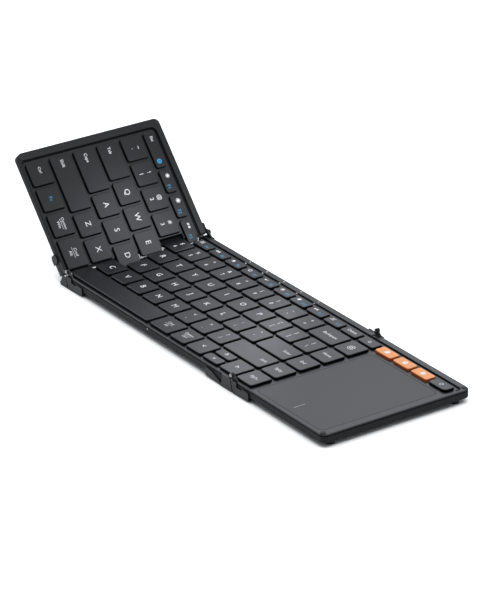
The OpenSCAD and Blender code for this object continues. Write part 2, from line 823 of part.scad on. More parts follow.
module bumper_places(x) {
    for (y = [front_y + bumper_end_inset, back_y - bumper_end_inset]) translate([x, y, 0]) children();
}

module bumpers(x) {
    bumper_places(x) translate([0, 0, deck_z - bumper_seat]) {
        cylinder(h = bumper_seat + bumper_rise - 0.2, r = bumper_radius);
        translate([0, 0, bumper_seat + bumper_rise - 0.2])
            cylinder(h = 0.2, r1 = bumper_radius, r2 = bumper_radius - 0.2);
    }
}

module bumper_seats(x) {
    bumper_places(x) translate([0, 0, deck_z - bumper_seat]) cylinder(h = 3, r = bumper_radius + seat_gap);
}

// ---------------------------------------------------------------- centre panel

module centre_bottom_shell() {
    in_world() color("#2b2c2e") difference() {
        shell(CENTRE, centre_screw_places);
        status_light_bore(seat_gap);
    }
}

module centre_top_frame() {
    in_world() color("#3a3b3d") {
        frame(CENTRE, centre_screw_places);
        rib_between_arrows();
    }
}

module centre_support_plate() {
    in_world() color("#8d9094") support_plate(CENTRE, inner_x1[CENTRE] - seat_gap, centre_screw_places);
}

module centre_switch_sheet() {
    in_world() color("#d9d6cb") switch_sheet(CENTRE, inner_x1[CENTRE] - seat_gap, centre_screw_places);
}

module centre_scissor_legs() {
    in_world() color("#f2f2ee") scissor_legs(CENTRE);
}

module centre_long_leaves() {
    in_world() color("#333436") long_leaves(right_axis);
}

module centre_short_leaves() {
    in_world() color("#333436") {
        short_leaves(left_axis);
        posts(left_axis);
    }
}

module right_hinge_pins() {
    in_world() color("#c9ccd1") hinge_pins(right_axis);
}

module centre_screws() {
    in_world() color("#55585c") screws(centre_screw_places);
}

module status_light_bore(gap) {
    translate([(left_axis + right_axis) / 2, front_y - gap, (seam_z + floor_z) / 2 + 1]) rotate([-90, 0, 0])
        cylinder(h = shell_wall + gap, r = light_radius + gap);
}

module status_light() {
    in_world() color("#e8edf2") status_light_bore(0);
}

// ---------------------------------------------------------------- left panel

module left_bottom_shell() {
    raised() color("#2b2c2e") shell(LEFT, left_screw_places);
}

module left_top_frame() {
    raised() color("#3a3b3d") difference() {
        frame(LEFT, left_screw_places);
        bumper_seats(left_x + bumper_inset);
    }
}

module left_support_plate() {
    raised() color("#8d9094") support_plate(LEFT, inner_x1[LEFT] - seat_gap, left_screw_places);
}

module left_switch_sheet() {
    raised() color("#d9d6cb") switch_sheet(LEFT, inner_x1[LEFT] - seat_gap, left_screw_places);
}

module left_scissor_legs() {
    raised() color("#f2f2ee") scissor_legs(LEFT);
}

module left_hinge_leaves() {
    raised() color("#333436") hump_leaves(left_axis);
}

module left_hinge_pins() {
    raised() color("#c9ccd1") hinge_pins(left_axis);
}

module left_feet() {
    raised() color("#1d1e1f") feet(left_x + foot_inset, 1);
}

module left_bumpers() {
    raised() color("#2f3032") bumpers(left_x + bumper_inset);
}

module left_screws() {
    raised() color("#55585c") screws(left_screw_places);
}

// ---------------------------------------------------------------- right panel

module pad_area(gap, z0, z1) {
    r = pad_corner + gap;
    slab([pad_x0 - gap, pad_y0 - gap], [pad_x0 + pad_width + gap, pad_y0 + pad_depth + gap],
         [r, r, r, r], z0, z1);
}

module port_area(gap) {
    r = port_height / 2 + gap;
    w = port_width / 2 - port_height / 2;
    translate([right_x - port_inset, back_y, port_z]) rotate([90, 0, 0])
        linear_extrude(port_depth) union() {
            translate([-w, 0]) circle(r);
            translate([w, 0]) circle(r);
            translate([-w, -r]) square([2 * w, 2 * r]);
        }
}

port_z = floor_z + seat_gap + port_height / 2 + 0.1;

module right_bottom_shell() {
    in_world() color("#2b2c2e") difference() {
        shell(RIGHT, right_screw_places);
        translate([0, shell_wall, 0]) port_area(seat_gap);
    }
}

module right_top_frame() {
    in_world() color("#3a3b3d") difference() {
        frame(RIGHT, right_screw_places);
        pad_area(pad_seam, seam_z - skirt_height - 1, deck_z + 1);
        bumper_seats(right_x - bumper_inset);
        translate([0, shell_wall, 0]) port_area(seat_gap);
    }
}

// The keys of the right panel stand in a column beside the fold and in the
// function row, so the plate and the sheet there have the shape of an L
module bent_area(z0, z1) {
    x0 = inner_x0[RIGHT] + seat_gap;
    slab([x0, shell_wall + seat_gap], [key_x1(RIGHT, 0, 0), bed_back], [0.3, 0.3, 0.3, 0.3], z0, z1);
    slab([x0, function_y + seat_gap], [key_x1(RIGHT, FUNCTION_ROW, 4), bed_back],
         [0.3, 0.3, 0.3, 0.3], z0, z1);
}

module right_support_plate() {
    in_world() color("#8d9094") bent_area(plate_z, sheet_z);
}

module right_switch_sheet() {
    in_world() color("#d9d6cb") {
        bent_area(sheet_z, sheet_top_z);
        domes(RIGHT);
    }
}

module right_scissor_legs() {
    in_world() color("#f2f2ee") scissor_legs(RIGHT);
}

module right_short_leaves() {
    in_world() color("#333436") short_leaves(right_axis);
}

module right_feet() {
    in_world() color("#1d1e1f") feet(right_x - foot_inset, -1);
}

module right_bumpers() {
    in_world() color("#2f3032") bumpers(right_x - bumper_inset);
}

module right_screws() {
    in_world() color("#55585c") screws(right_screw_places);
}

module touchpad_plate() {
    in_world() color("#45474a") pad_area(0, deck_z - pad_plate, deck_z);
}

module touchpad_board() {
    in_world() color("#1f6b4a")
        slab([pad_x0 + 2, pad_y0 + 2], [pad_x0 + pad_width - 2, pad_y0 + pad_depth - 2],
             [1, 1, 1, 1], deck_z - pad_plate - pad_board, deck_z - pad_plate);
}

module battery() {
    in_world() color("#b9bdc2")
        slab([pad_x0 + 5, 2.2 * key_pitch + 1],
             [pad_x0 + 5 + battery_width, 2.2 * key_pitch + 1 + battery_depth],
             [1, 1, 1, 1], floor_z, floor_z + battery_thickness);
}

// The board stands on four short posts
module main_board() {
    a = [pad_x0 + 5, 4];
    in_world() color("#1f6b4a") {
        slab(a, a + [board_width, board_depth], [1, 1, 1, 1], plate_z, plate_z + board_thickness);
        for (x = [3, board_width - 3], y = [3, board_depth - 3])
            translate([a[0] + x, a[1] + y, floor_z]) cylinder(h = plate_rib_height + eps, r = 1.2);
    }
}

module charging_socket() {
    in_world() color("#c9ccd1") difference() {
        port_area(0);
        translate([0, eps, 0]) port_hollow();
    }
}

module port_hollow() {
    r = port_height / 2 - 0.35;
    w = port_width / 2 - port_height / 2;
    translate([right_x - port_inset, back_y, port_z]) rotate([90, 0, 0])
        linear_extrude(port_depth - 1) union() {
            translate([-w, 0]) circle(r);
            translate([w, 0]) circle(r);
            translate([-w, -r]) square([2 * w, 2 * r]);
        }
}

// ---------------------------------------------------------------- keys

module left_function_keys() {
    raised() color("#37383a") caps(LEFT, 5, 0, 3);
}

module left_number_keys() {
    raised() color("#37383a") caps(LEFT, 4, 0, 3);
}

module left_letter_keys() {
    raised() color("#37383a") {
        caps(LEFT, 3, 1, 3);
        caps(LEFT, 2, 1, 3);
        caps(LEFT, 1, 1, 2);
    }
}

module tab_key() {
    raised() color("#37383a") caps(LEFT, 3, 0, 0);
}

module caps_key() {
    raised() color("#37383a") caps(LEFT, 2, 0, 0);
}

module left_shift_key() {
    raised() color("#37383a") caps(LEFT, 1, 0, 0);
}

module left_bottom_keys() {
    raised() color("#37383a") caps(LEFT, 0, 0, 3);
}

module centre_function_keys() {
    in_world() color("#37383a") caps(CENTRE, 5, 0, 9);
}

module centre_number_keys() {
    in_world() color("#37383a") caps(CENTRE, 4, 0, 8);
}

module backspace_key() {
    in_world() color("#37383a") caps(CENTRE, 4, 9, 9);
}

module upper_letter_keys() {
    in_world() color("#37383a") caps(CENTRE, 3, 0, 9);
}

module middle_letter_keys() {
    in_world() color("#37383a") caps(CENTRE, 2, 0, 7);
}

module lower_letter_keys() {
    in_world() color("#37383a") caps(CENTRE, 1, 0, 7);
}

module enter_key() {
    in_world() color("#37383a") caps(CENTRE, 2, 8, 8);
}

module right_shift_key() {
    in_world() color("#37383a") caps(CENTRE, 1, 8, 8);
}

module space_key() {
    in_world() color("#37383a") caps(CENTRE, 0, 0, 0);
}

module centre_bottom_keys() {
    in_world() color("#37383a") caps(CENTRE, 0, 1, 2);
}

// Left, down, up and right: down and up share one cell
module arrow_keys() {
    r = cap_corner;
    x0 = key_x0(CENTRE, 0, ARROW_COLUMN);
    x1 = key_x1(CENTRE, 0, ARROW_COLUMN);
    in_world() color("#37383a") {
        caps(CENTRE, 0, 3, 3);
        cap(x0, x1, 0, key_pitch / 2, [r, r, r, r]);
        cap(x0, x1, key_pitch / 2, key_pitch, [r, r, r, r]);
        caps(CENTRE, 0, 5, 5);
    }
}

module navigation_keys() {
    in_world() color("#37383a") for (row = [0:4]) caps(RIGHT, row, 0, 0);
}

module capture_key() {
    in_world() color("#37383a") caps(RIGHT, 5, 0, 0);
}

module orange_key_left() {
    in_world() color("#f0955f") caps(RIGHT, 5, 1, 1);
}

module orange_key_middle() {
    in_world() color("#f0955f") caps(RIGHT, 5, 2, 2);
}

module orange_key_right() {
    in_world() color("#f0955f") caps(RIGHT, 5, 3, 3);
}

module lock_key() {
    r = cap_corner;
    in_world() color("#37383a")
        cap(key_x0(RIGHT, 5, 4), key_x1(RIGHT, 5, 4), row_y0(5), row_y1(5), [r, end_cap_corner, r, r]);
}

centre_bottom_shell();
centre_top_frame();
centre_support_plate();
centre_switch_sheet();
centre_scissor_legs();
centre_long_leaves();
centre_short_leaves();
right_hinge_pins();
centre_screws();
status_light();
left_bottom_shell();
left_top_frame();
left_support_plate();
left_switch_sheet();
left_scissor_legs();
left_hinge_leaves();
left_hinge_pins();
left_feet();
left_bumpers();
left_screws();
right_bottom_shell();
right_top_frame();
right_support_plate();
right_switch_sheet();
right_scissor_legs();
right_short_leaves();
right_feet();
right_bumpers();
right_screws();
touchpad_plate();
touchpad_board();
battery();
main_board();
charging_socket();
left_function_keys();
left_number_keys();
left_letter_keys();
tab_key();
caps_key();
left_shift_key();
left_bottom_keys();
centre_function_keys();
centre_number_keys();
backspace_key();
upper_letter_keys();
middle_letter_keys();
lower_letter_keys();
enter_key();
right_shift_key();
space_key();
centre_bottom_keys();
arrow_keys();
navigation_keys();
capture_key();
orange_key_left();
orange_key_middle();
orange_key_right();
lock_key();
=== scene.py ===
"""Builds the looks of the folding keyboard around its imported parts.

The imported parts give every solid. This script gives them their finishes, prints the
legends on the caps and the touchpad, and sets the table, the lights and the camera.
"""

import json
import logging
import math
from dataclasses import dataclass
from enum import Enum
from typing import ClassVar

import bpy
from mathutils import Matrix, Vector

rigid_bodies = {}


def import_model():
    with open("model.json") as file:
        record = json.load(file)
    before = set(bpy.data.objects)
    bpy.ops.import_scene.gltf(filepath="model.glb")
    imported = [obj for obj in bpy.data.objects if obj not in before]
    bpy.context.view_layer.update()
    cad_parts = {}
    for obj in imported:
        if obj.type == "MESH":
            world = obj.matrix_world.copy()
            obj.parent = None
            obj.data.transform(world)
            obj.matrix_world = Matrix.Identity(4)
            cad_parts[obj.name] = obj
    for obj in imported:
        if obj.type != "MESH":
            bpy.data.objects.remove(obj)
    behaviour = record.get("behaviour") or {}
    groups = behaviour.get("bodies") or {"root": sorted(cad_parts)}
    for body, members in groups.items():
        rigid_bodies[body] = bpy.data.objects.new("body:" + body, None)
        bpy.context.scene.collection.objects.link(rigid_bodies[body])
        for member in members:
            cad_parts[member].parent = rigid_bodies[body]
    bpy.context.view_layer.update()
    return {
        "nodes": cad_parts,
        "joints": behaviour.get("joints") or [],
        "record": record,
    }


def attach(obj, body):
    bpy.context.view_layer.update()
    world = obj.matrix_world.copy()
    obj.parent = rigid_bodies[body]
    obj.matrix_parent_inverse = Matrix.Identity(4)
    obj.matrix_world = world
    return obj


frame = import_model()

LOG = logging.getLogger("folding_keyboard")

MM = 0.001
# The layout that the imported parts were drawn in, in millimetres: x runs along the key rows from
# the first column, y from the bottom row to the back, z up from the table, all panels flat
PITCH = 19.0
LEFT_FOLD = 4.25 * PITCH
REST_ANGLE = math.radians(48)
KEY_TOP = 10.9
DECK = 9.2
AXIS_HEIGHT = 11.8
ROW_DEPTHS = (PITCH, PITCH, PITCH, PITCH, PITCH, 10.6)
FUNCTION_ROW = len(ROW_DEPTHS) - 1
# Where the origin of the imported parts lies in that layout
ORIGIN = (193.983449, 56.2)
# Inks lie this far above what they are printed on, so that the two never coincide
PRINT_LIFT = 0.012


class Panel(Enum):
    """The three rigid panels of the keyboard."""

    LEFT = "left"
    CENTRE = "centre"
    RIGHT = "right"


class Ink(Enum):
    """The inks that the legends are printed in."""

    WHITE = "white"
    BLUE = "blue"
    CYAN = "cyan"


class Outline(Enum):
    """The outlines of the printed marks, by their number of corners."""

    TRIANGLE = 3
    SQUARE = 4
    ROUND = 28


class Side(Enum):
    """How a line of lettering is held to its anchor point."""

    LEFT = "LEFT"
    CENTRE = "CENTER"
    RIGHT = "RIGHT"


def linear(code: str) -> tuple[float, float, float, float]:
    """Turn an sRGB hex colour into linear light.

    Args:
        code: six hex digits, with or without a leading #.

    Returns:
        Red, green, blue and alpha in linear light.
    """
    digits = code.lstrip("#")
    channels = (int(digits[i : i + 2], 16) / 255 for i in (0, 2, 4))
    return (*(c / 12.92 if c <= 0.04045 else ((c + 0.055) / 1.055) ** 2.4 for c in channels), 1.0)


def place(x: float, y: float, z: float) -> Vector:
    """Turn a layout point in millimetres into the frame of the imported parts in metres.

    Args:
        x: distance along the key rows from the first column.
        y: distance from the bottom row towards the back.
        z: height above the table.

    Returns:
        The point with every panel flat.
    """
    return Vector((x - ORIGIN[0], y - ORIGIN[1], z)) * MM


def panel_matrix(panel: Panel) -> Matrix:
    """Give the matrix that stands a panel up as it is at rest.

    Args:
        panel: the panel in question.

    Returns:
        The identity, or the turn of the left panel about its fold axis.
    """
    if panel is not Panel.LEFT:
        return Matrix.Identity(4)
    axis = Vector(((LEFT_FOLD - ORIGIN[0]) * MM, 0, AXIS_HEIGHT * MM))
    turn = Matrix.Rotation(REST_ANGLE, 4, "Y")
    return Matrix.Translation(axis) @ turn @ Matrix.Translation(-axis)


def deselect() -> None:
    """Clear the selection so that an operator acts on one object only."""
    bpy.ops.object.select_all(action="DESELECT")


def activate(obj: bpy.types.Object) -> None:
    """Select one object and make it active.

    Args:
        obj: the object that the next operator acts on.
    """
    deselect()
    obj.select_set(True)
    bpy.context.view_layer.objects.active = obj


def settle(obj: bpy.types.Object, matrix: Matrix) -> bpy.types.Object:
    """Put an object in its place and move that place into its mesh.

    Args:
        obj: the object.
        matrix: its place, turn and size.

    Returns:
        The same object, at the origin, unturned and unscaled.
    """
    obj.matrix_world = matrix
    activate(obj)
    bpy.ops.object.transform_apply(location=True, rotation=True, scale=True)
    return obj


def box(low: Vector, high: Vector, bevel: float, panel: Panel) -> bpy.types.Object:
    """Build a block with bevelled edges.

    Args:
        low: its lowest corner in the flat layout, in metres.
        high: its highest corner in the flat layout, in metres.
        bevel: width of the bevel, in millimetres.
        panel: the panel it stands on.

    Returns:
        The block in its place.
    """
    deselect()
    bpy.ops.mesh.primitive_cube_add(size=1)
    size = Matrix.Diagonal((*(high - low), 1))
    turn = panel_matrix(panel)
    block = settle(bpy.context.object, turn @ Matrix.Translation((low + high) / 2) @ size)
    edge = block.modifiers.new("edge", "BEVEL")
    edge.width = bevel * MM
    bpy.ops.object.modifier_apply(modifier=edge.name)
    return block


def patch(x: float, y: float, z: float, width: float, depth: float) -> bpy.types.Object:
    """Build a flat rectangle that faces up.

    Args:
        x: its middle along the key rows, in millimetres.
        y: its middle towards the back, in millimetres.
        z: its height above the table, in millimetres.
        width: its size along the key rows, in millimetres.
        depth: its size towards the back, in millimetres.

    Returns:
        The rectangle in its place.
    """
    deselect()
    bpy.ops.mesh.primitive_plane_add(size=1)
    size = Matrix.Diagonal((width * MM, depth * MM, 1, 1))
    return settle(bpy.context.object, Matrix.Translation(place(x, y, z)) @ size)


def join(parts: list[bpy.types.Object], name: str) -> bpy.types.Object:
    """Join finished meshes into one object.

    Args:
        parts: the meshes to join; the first one stays.
        name: the name of the result.

    Returns:
        The joined object.
    """
    activate(parts[0])
    for part in parts:
        part.select_set(True)
    if len(parts) > 1:
        bpy.ops.object.join()
    joined = bpy.context.view_layer.objects.active
    joined.name = name
    joined.data.name = name
    return joined


# ------------------------------------------------------------------ finishes


def add_node(tree: bpy.types.NodeTree, kind: str, **values) -> bpy.types.Node:
    """Add one shader node and set its inputs and options.

    Args:
        tree: the node tree to add to.
        kind: the node's type name.
        **values: input names (underscores for spaces) or option names, with their values.

    Returns:
        The new node.
    """
    node = tree.nodes.new(kind)
    for key, value in values.items():
        label = key.replace("_", " ")
        if label in node.inputs:
            node.inputs[label].default_value = value
        else:
            setattr(node, key, value)
    return node


@dataclass(frozen=True)
class Finish:
    """A surface finish that is drawn by nodes.

    Args:
        name: what the real surface is.
        colour: sRGB hex colour of the surface.
        shade: sRGB hex colour of its darker patches.
        roughness: the middle of its roughness.
        swing: how far the roughness strays either way.
        grain: size of the moulded grain in millimetres.
        relief: depth of that grain in millimetres.
        metallic: 1 for bare metal, 0 otherwise.
        specular: strength of the reflection at right angles.
        side: sRGB hex colour of painted shade on the faces that don't look up, where it differs.
        up: the direction that counts as up for the painted side shade and the painted deep shade.
        deep: sRGB hex colour of painted shade below deep_level, in the grooves and recesses, where
            it differs.
        deep_level: height below which the painted deep shade starts, in millimetres, panel flat.
        coat: strength of a clear coat.
    """

    # What is left of the reflection on a cap's sides and in a groove, which see little light
    SHADED_REFLECTION: ClassVar[float] = 0.25
    # Patches of tone to the metre: each is about 17 mm wide, as in a moulding of this size
    DRIFT: ClassVar[float] = 60.0
    COAT_ROUGHNESS: ClassVar[float] = 0.25
    # Share of the grain's height that the bump shows
    BUMP: ClassVar[float] = 0.5
    # The noise hardly leaves this span, so the roughness swings over it
    NOISE_SPAN: ClassVar[tuple[float, float]] = (0.3, 0.7)
    # How far a face looks up, as a cosine, where it takes all of the painted side shade and where
    # it is all top
    SIDE_SHADE_SPAN: ClassVar[tuple[float, float]] = (0.35, 0.8)
    # Half the height over which the painted deep shade fades in, in millimetres
    DEEP_SHADE_FADE: ClassVar[float] = 0.15
    # The colour sockets of a Mix node, which has other sockets of the same names
    MIX_LOW: ClassVar[int] = 6
    MIX_HIGH: ClassVar[int] = 7
    MIX_RESULT: ClassVar[int] = 2

    name: str
    colour: str
    shade: str
    roughness: float = 0.5
    swing: float = 0.05
    grain: float = 0.3
    relief: float = 0.01
    metallic: float = 0.0
    specular: float = 0.5
    side: str = ""
    up: tuple[float, float, float] = (0.0, 0.0, 1.0)
    deep: str = ""
    deep_level: float = DECK - 0.7
    coat: float = 0.0

    def build(self) -> bpy.types.Material:
        """Build the finish once and return its material.

        Returns:
            The material with this finish's name.
        """
        known = bpy.data.materials.get(self.name)
        if known:
            return known
        material = bpy.data.materials.new(self.name)
        material.use_nodes = True
        tree = material.node_tree
        tree.nodes.clear()
        out = add_node(tree, "ShaderNodeOutputMaterial")
        shader = add_node(
            tree,
            "ShaderNodeBsdfPrincipled",
            Metallic=self.metallic,
            Specular_IOR_Level=self.specular,
            Coat_Weight=self.coat,
            Coat_Roughness=self.COAT_ROUGHNESS,
        )
        place_in = add_node(tree, "ShaderNodeTexCoord")
        # Slow drift of tone, as a moulding or a casting has across its length
        drift = add_node(tree, "ShaderNodeTexNoise", Scale=self.DRIFT, Detail=3.0, Roughness=0.55)
        tone = add_node(tree, "ShaderNodeMix", data_type="RGBA")
        tone.inputs[self.MIX_LOW].default_value = linear(self.colour)
        tone.inputs[self.MIX_HIGH].default_value = linear(self.shade)
        # The moulded grain: it breaks the highlight up and makes the surface satin
        grain = add_node(
            tree, "ShaderNodeTexNoise", Scale=1000.0 / self.grain, Detail=2.0, Roughness=0.6
        )
        rough = add_node(
            tree,
            "ShaderNodeMapRange",
            From_Min=self.NOISE_SPAN[0],
            From_Max=self.NOISE_SPAN[1],
            To_Min=self.roughness - self.swing,
            To_Max=self.roughness + self.swing,
        )
        bump = add_node(tree, "ShaderNodeBump", Strength=self.BUMP, Distance=self.relief * MM)
        link = tree.links.new
        link(place_in.outputs["Object"], drift.inputs["Vector"])
        link(place_in.outputs["Object"], grain.inputs["Vector"])
        link(drift.outputs["Fac"], tone.inputs["Factor"])
        link(grain.outputs["Fac"], rough.inputs["Value"])
        link(grain.outputs["Fac"], bump.inputs["Height"])
        link(rough.outputs["Result"], shader.inputs["Roughness"])
        link(bump.outputs["Normal"], shader.inputs["Normal"])
        surface = self.paint_side_shade(tree, place_in, tone.outputs[self.MIX_RESULT], shader)
        link(self.paint_deep_shade(tree, place_in, surface, shader), shader.inputs["Base Color"])
        link(shader.outputs["BSDF"], out.inputs["Surface"])
        return material

    def paint_side_shade(
        self,
        tree: bpy.types.NodeTree,
        place_in: bpy.types.Node,
        tone: bpy.types.NodeSocket,
        shader: bpy.types.Node,
    ) -> bpy.types.NodeSocket:
        """Paint shade on the sides of a cap, where the finish has a side colour.

        Args:
            tree: the material's node tree.
            place_in: its texture coordinates.
            tone: the socket with the colour of the top.
            shader: the surface shader, whose reflection fades on the sides.

        Returns:
            The socket that carries the colour with the painted side shade.
        """
        if not self.side:
            return tone
        # Painted shade: faces that turn away from up take the darker side colour
        facing = add_node(tree, "ShaderNodeVectorMath", operation="DOT_PRODUCT")
        facing.inputs[1].default_value = self.up
        flank, top = self.SIDE_SHADE_SPAN
        edge = add_node(tree, "ShaderNodeMapRange", From_Min=flank, From_Max=top)
        tree.links.new(place_in.outputs["Normal"], facing.inputs[0])
        tree.links.new(facing.outputs["Value"], edge.inputs["Value"])
        return self.blend(tree, edge.outputs["Result"], self.side, tone, shader)

    def paint_deep_shade(
        self,
        tree: bpy.types.NodeTree,
        place_in: bpy.types.Node,
        tone: bpy.types.NodeSocket,
        shader: bpy.types.Node,
    ) -> bpy.types.NodeSocket:
        """Paint shade into the grooves and recesses below the surface, where the finish has a deep
        colour.

        Args:
            tree: the material's node tree.
            place_in: its texture coordinates.
            tone: the socket with the colour above the level.
            shader: the surface shader, whose reflection fades below the level.

        Returns:
            The socket that carries the base colour.
        """
        if not self.deep:
            return tone
        axis = ((LEFT_FOLD - ORIGIN[0]) * MM, 0.0, AXIS_HEIGHT * MM)
        level = sum(a * u for a, u in zip(axis, self.up)) + (self.deep_level - AXIS_HEIGHT) * MM
        # Painted shade: below the level the surface takes the darker deep colour
        height = add_node(tree, "ShaderNodeVectorMath", operation="DOT_PRODUCT")
        height.inputs[1].default_value = self.up
        fade = self.DEEP_SHADE_FADE * MM
        edge = add_node(tree, "ShaderNodeMapRange", From_Min=level - fade, From_Max=level + fade)
        tree.links.new(place_in.outputs["Object"], height.inputs[0])
        tree.links.new(height.outputs["Value"], edge.inputs["Value"])
        return self.blend(tree, edge.outputs["Result"], self.deep, tone, shader)

    def blend(
        self,
        tree: bpy.types.NodeTree,
        factor: bpy.types.NodeSocket,
        low: str,
        high: bpy.types.NodeSocket,
        shader: bpy.types.Node,
    ) -> bpy.types.NodeSocket:
        """Mix a shaded colour with a tone and fade the reflection where it is shaded.

        Args:
            tree: the material's node tree.
            factor: 0 for the shaded colour, 1 for the tone.
            low: sRGB hex colour at factor 0.
            high: the socket with the tone at factor 1.
            shader: the surface shader.

        Returns:
            The socket that carries the mix.
        """
        shaded = self.specular * self.SHADED_REFLECTION
        fade = add_node(tree, "ShaderNodeMapRange", To_Min=shaded, To_Max=self.specular)
        tree.links.new(factor, fade.inputs["Value"])
        tree.links.new(fade.outputs["Result"], shader.inputs["Specular IOR Level"])
        both = add_node(tree, "ShaderNodeMix", data_type="RGBA")
        both.inputs[self.MIX_LOW].default_value = linear(low)
        tree.links.new(factor, both.inputs["Factor"])
        tree.links.new(high, both.inputs[self.MIX_HIGH])
        return both.outputs[self.MIX_RESULT]


RAISED_UP = (math.sin(REST_ANGLE), 0.0, math.cos(REST_ANGLE))

# Moulded ABS with a fine satin grain: dark, with long soft reflections of the studio; the grooves
# and all of it lower than the deck's top by 0.7 mm take a near-black colour as painted shade
DECK_PLASTIC = Finish(
    "satin deck plastic", "151618", "121314", 0.34, 0.05, 0.35, 0.012, deep="060607"
)
DECK_PLASTIC_RAISED = Finish(
    "satin deck plastic, raised panel", "151618", "121314", 0.4, 0.06, 0.35, 0.012,
    up=RAISED_UP, deep="060607",
)
# The caps' tops catch the light a little more sharply than the deck; their sides take a near-black
# colour as painted shade, which draws the gaps between the keys
CAP_PLASTIC = Finish(
    "satin cap plastic", "131416", "101113", 0.31, 0.05, 0.3, 0.01, side="050506"
)
CAP_PLASTIC_RAISED = Finish(
    "satin cap plastic, raised panel", "131416", "101113", 0.4, 0.05, 0.3, 0.01,
    side="050506", up=RAISED_UP,
)
# Coarser, duller moulding: the shells read near black and show no reflection
SHELL_PLASTIC = Finish(
    "matt shell plastic", "111214", "0e0f11", 0.5, 0.06, 0.4, 0.015, specular=0.3
)
# Through-coloured light orange, the one strong colour of the object; its sides take a darker
# orange as painted shade
ORANGE_PLASTIC = Finish(
    "orange cap plastic", "fdaa68", "faa462", 0.45, 0.05, 0.3, 0.01, side="c05a2a"
)
# Film-smooth and even, so that it shows one calm grey without grain
TOUCH_SURFACE = Finish("smooth touch surface", "141517", "131416", 0.36, 0.03, 0.2, 0.003)
# Sprayed paint on cast leaves: small bright glints on the knuckles
HINGE_PAINT = Finish("dark hinge paint", "111213", "0d0e0f", 0.38, 0.07, 0.5, 0.015, coat=0.1)
# Bare turned steel: the pins' ends are the brightest points of the hinges
PIN_STEEL = Finish(
    "turned pin steel", "b9bcc0", "a3a6aa", 0.28, 0.06, 0.15, 0.004, metallic=1.0
)
# Rolled sheet under the keys, dull and cool
PLATE_STEEL = Finish(
    "stamped plate steel", "8d9094", "7f8286", 0.35, 0.08, 0.2, 0.004, metallic=1.0
)
# Blackened heads that show as small darker discs with a metal rim light
SCREW_STEEL = Finish(
    "blackened screw steel", "4b4e52", "3f4246", 0.4, 0.08, 0.15, 0.004, metallic=1.0
)
# Soft, shineless rubber and plain dark plastic deep between the caps
DOME_RUBBER = Finish("dark dome rubber", "161718", "121314", 0.6, 0.05, 0.4, 0.01)
LEG_PLASTIC = Finish("dark scissor plastic", "131415", "101112", 0.4, 0.05, 0.3, 0.005)
# Rubber takes the light flat: the pads are the dullest and darkest pieces
FOOT_RUBBER = Finish("black foot rubber", "0e0e0f", "0b0b0c", 0.7, 0.08, 0.35, 0.02)
BUMPER_RUBBER = Finish("grey bumper rubber", "1c1d1f", "18191b", 0.55, 0.06, 0.3, 0.012)
# Lacquer over green resin: a wet shine
BOARD_RESIN = Finish("green board lacquer", "1f6b4a", "1a5c40", 0.3, 0.05, 0.5, 0.01, coat=0.4)
# Crinkled aluminium foil: broad broken glints
BATTERY_FOIL = Finish("battery foil", "b9bdc2", "a9adb3", 0.35, 0.1, 1.5, 0.05, metallic=1.0)
# Plated sheet metal: the clearest reflection of all
SOCKET_METAL = Finish("socket metal", "c4c7cb", "b2b5b9", 0.25, 0.05, 0.2, 0.003, metallic=1.0)
# Milky polycarbonate: a soft pale dot
LIGHT_LENS = Finish("milky light lens", "c9ced3", "bcc1c7", 0.35, 0.05, 0.3, 0.004)
# Screen-printed inks: flat, even and matt against the satin caps
WHITE_INK = Finish("white legend ink", "f6f7f8", "eceeef", 0.55, 0.05, 0.15, 0.002)
BLUE_INK = Finish("blue legend ink", "3c9fce", "338fbb", 0.55, 0.05, 0.15, 0.002)
CYAN_INK = Finish("bright cyan legend ink", "34b4ee", "2ca6de", 0.5, 0.05, 0.15, 0.002)
MARK_INK = Finish("pale touch mark ink", "b7babd", "a9acb0", 0.5, 0.05, 0.15, 0.002)

INK_FINISHES = {Ink.WHITE: WHITE_INK, Ink.BLUE: BLUE_INK, Ink.CYAN: CYAN_INK}

SLOT_FINISHES = {
    "deck_plastic": DECK_PLASTIC,
    "key_plastic": CAP_PLASTIC,
    "shell_plastic": SHELL_PLASTIC,
    "orange_plastic": ORANGE_PLASTIC,
    "hinge_metal": HINGE_PAINT,
    "pin_steel": PIN_STEEL,
    "plate_steel": PLATE_STEEL,
    "screw_steel": SCREW_STEEL,
    "sheet_rubber": DOME_RUBBER,
    "leg_plastic": LEG_PLASTIC,
    "foot_rubber": FOOT_RUBBER,
    "bumper_rubber": BUMPER_RUBBER,
    "touchpad_surface": TOUCH_SURFACE,
    "circuit_board": BOARD_RESIN,
    "battery_foil": BATTERY_FOIL,
    "socket_metal": SOCKET_METAL,
    "light_lens": LIGHT_LENS,
}

# On the raised panel, up is another direction: these copies turn the painted side and deep shade
# with the panel
RAISED_FINISHES = {"deck_plastic": DECK_PLASTIC_RAISED, "key_plastic": CAP_PLASTIC_RAISED}


def paint_frame() -> None:
    """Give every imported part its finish."""
    slots = {part["node"]: part["material_slot"] for part in frame["record"]["subparts"]}
    raised = set(body_nodes("left_panel"))
    for joint in frame["joints"]:
        if joint["parent"] == "left_panel":
            raised.update(body_nodes(joint["child"]))
    for name, obj in frame["nodes"].items():
        finish = SLOT_FINISHES[slots[name]]
        if name in raised:
            finish = RAISED_FINISHES.get(slots[name], finish)
        obj.material_slots[0].material = finish.build()
    LOG.info("painted %d packed parts", len(frame["nodes"]))


def body_nodes(body: str) -> list[str]:
    """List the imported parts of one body.

    Args:
        body: the body's name.

    Returns:
        The names of its parts.
    """
    return frame["record"]["behaviour"]["bodies"][body]


def body_of_node(node: str) -> str:
    """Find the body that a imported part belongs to.

    Args:
        node: the part's name.

    Returns:
        The body's name.
    """
    for body, nodes in frame["record"]["behaviour"]["bodies"].items():
        if node in nodes:
            return body
    raise KeyError(node)


# ------------------------------------------------------------------ legends


# Heights of capitals, in millimetres
LETTER_SIZE = 4.0
SIGN_SIZE = 2.9
LABEL_SIZE = 2.4
NAME_SIZE = 2.3
SMALL_SIZE = 2.1

Prints = tuple["Word | Mark | Bar", ...]


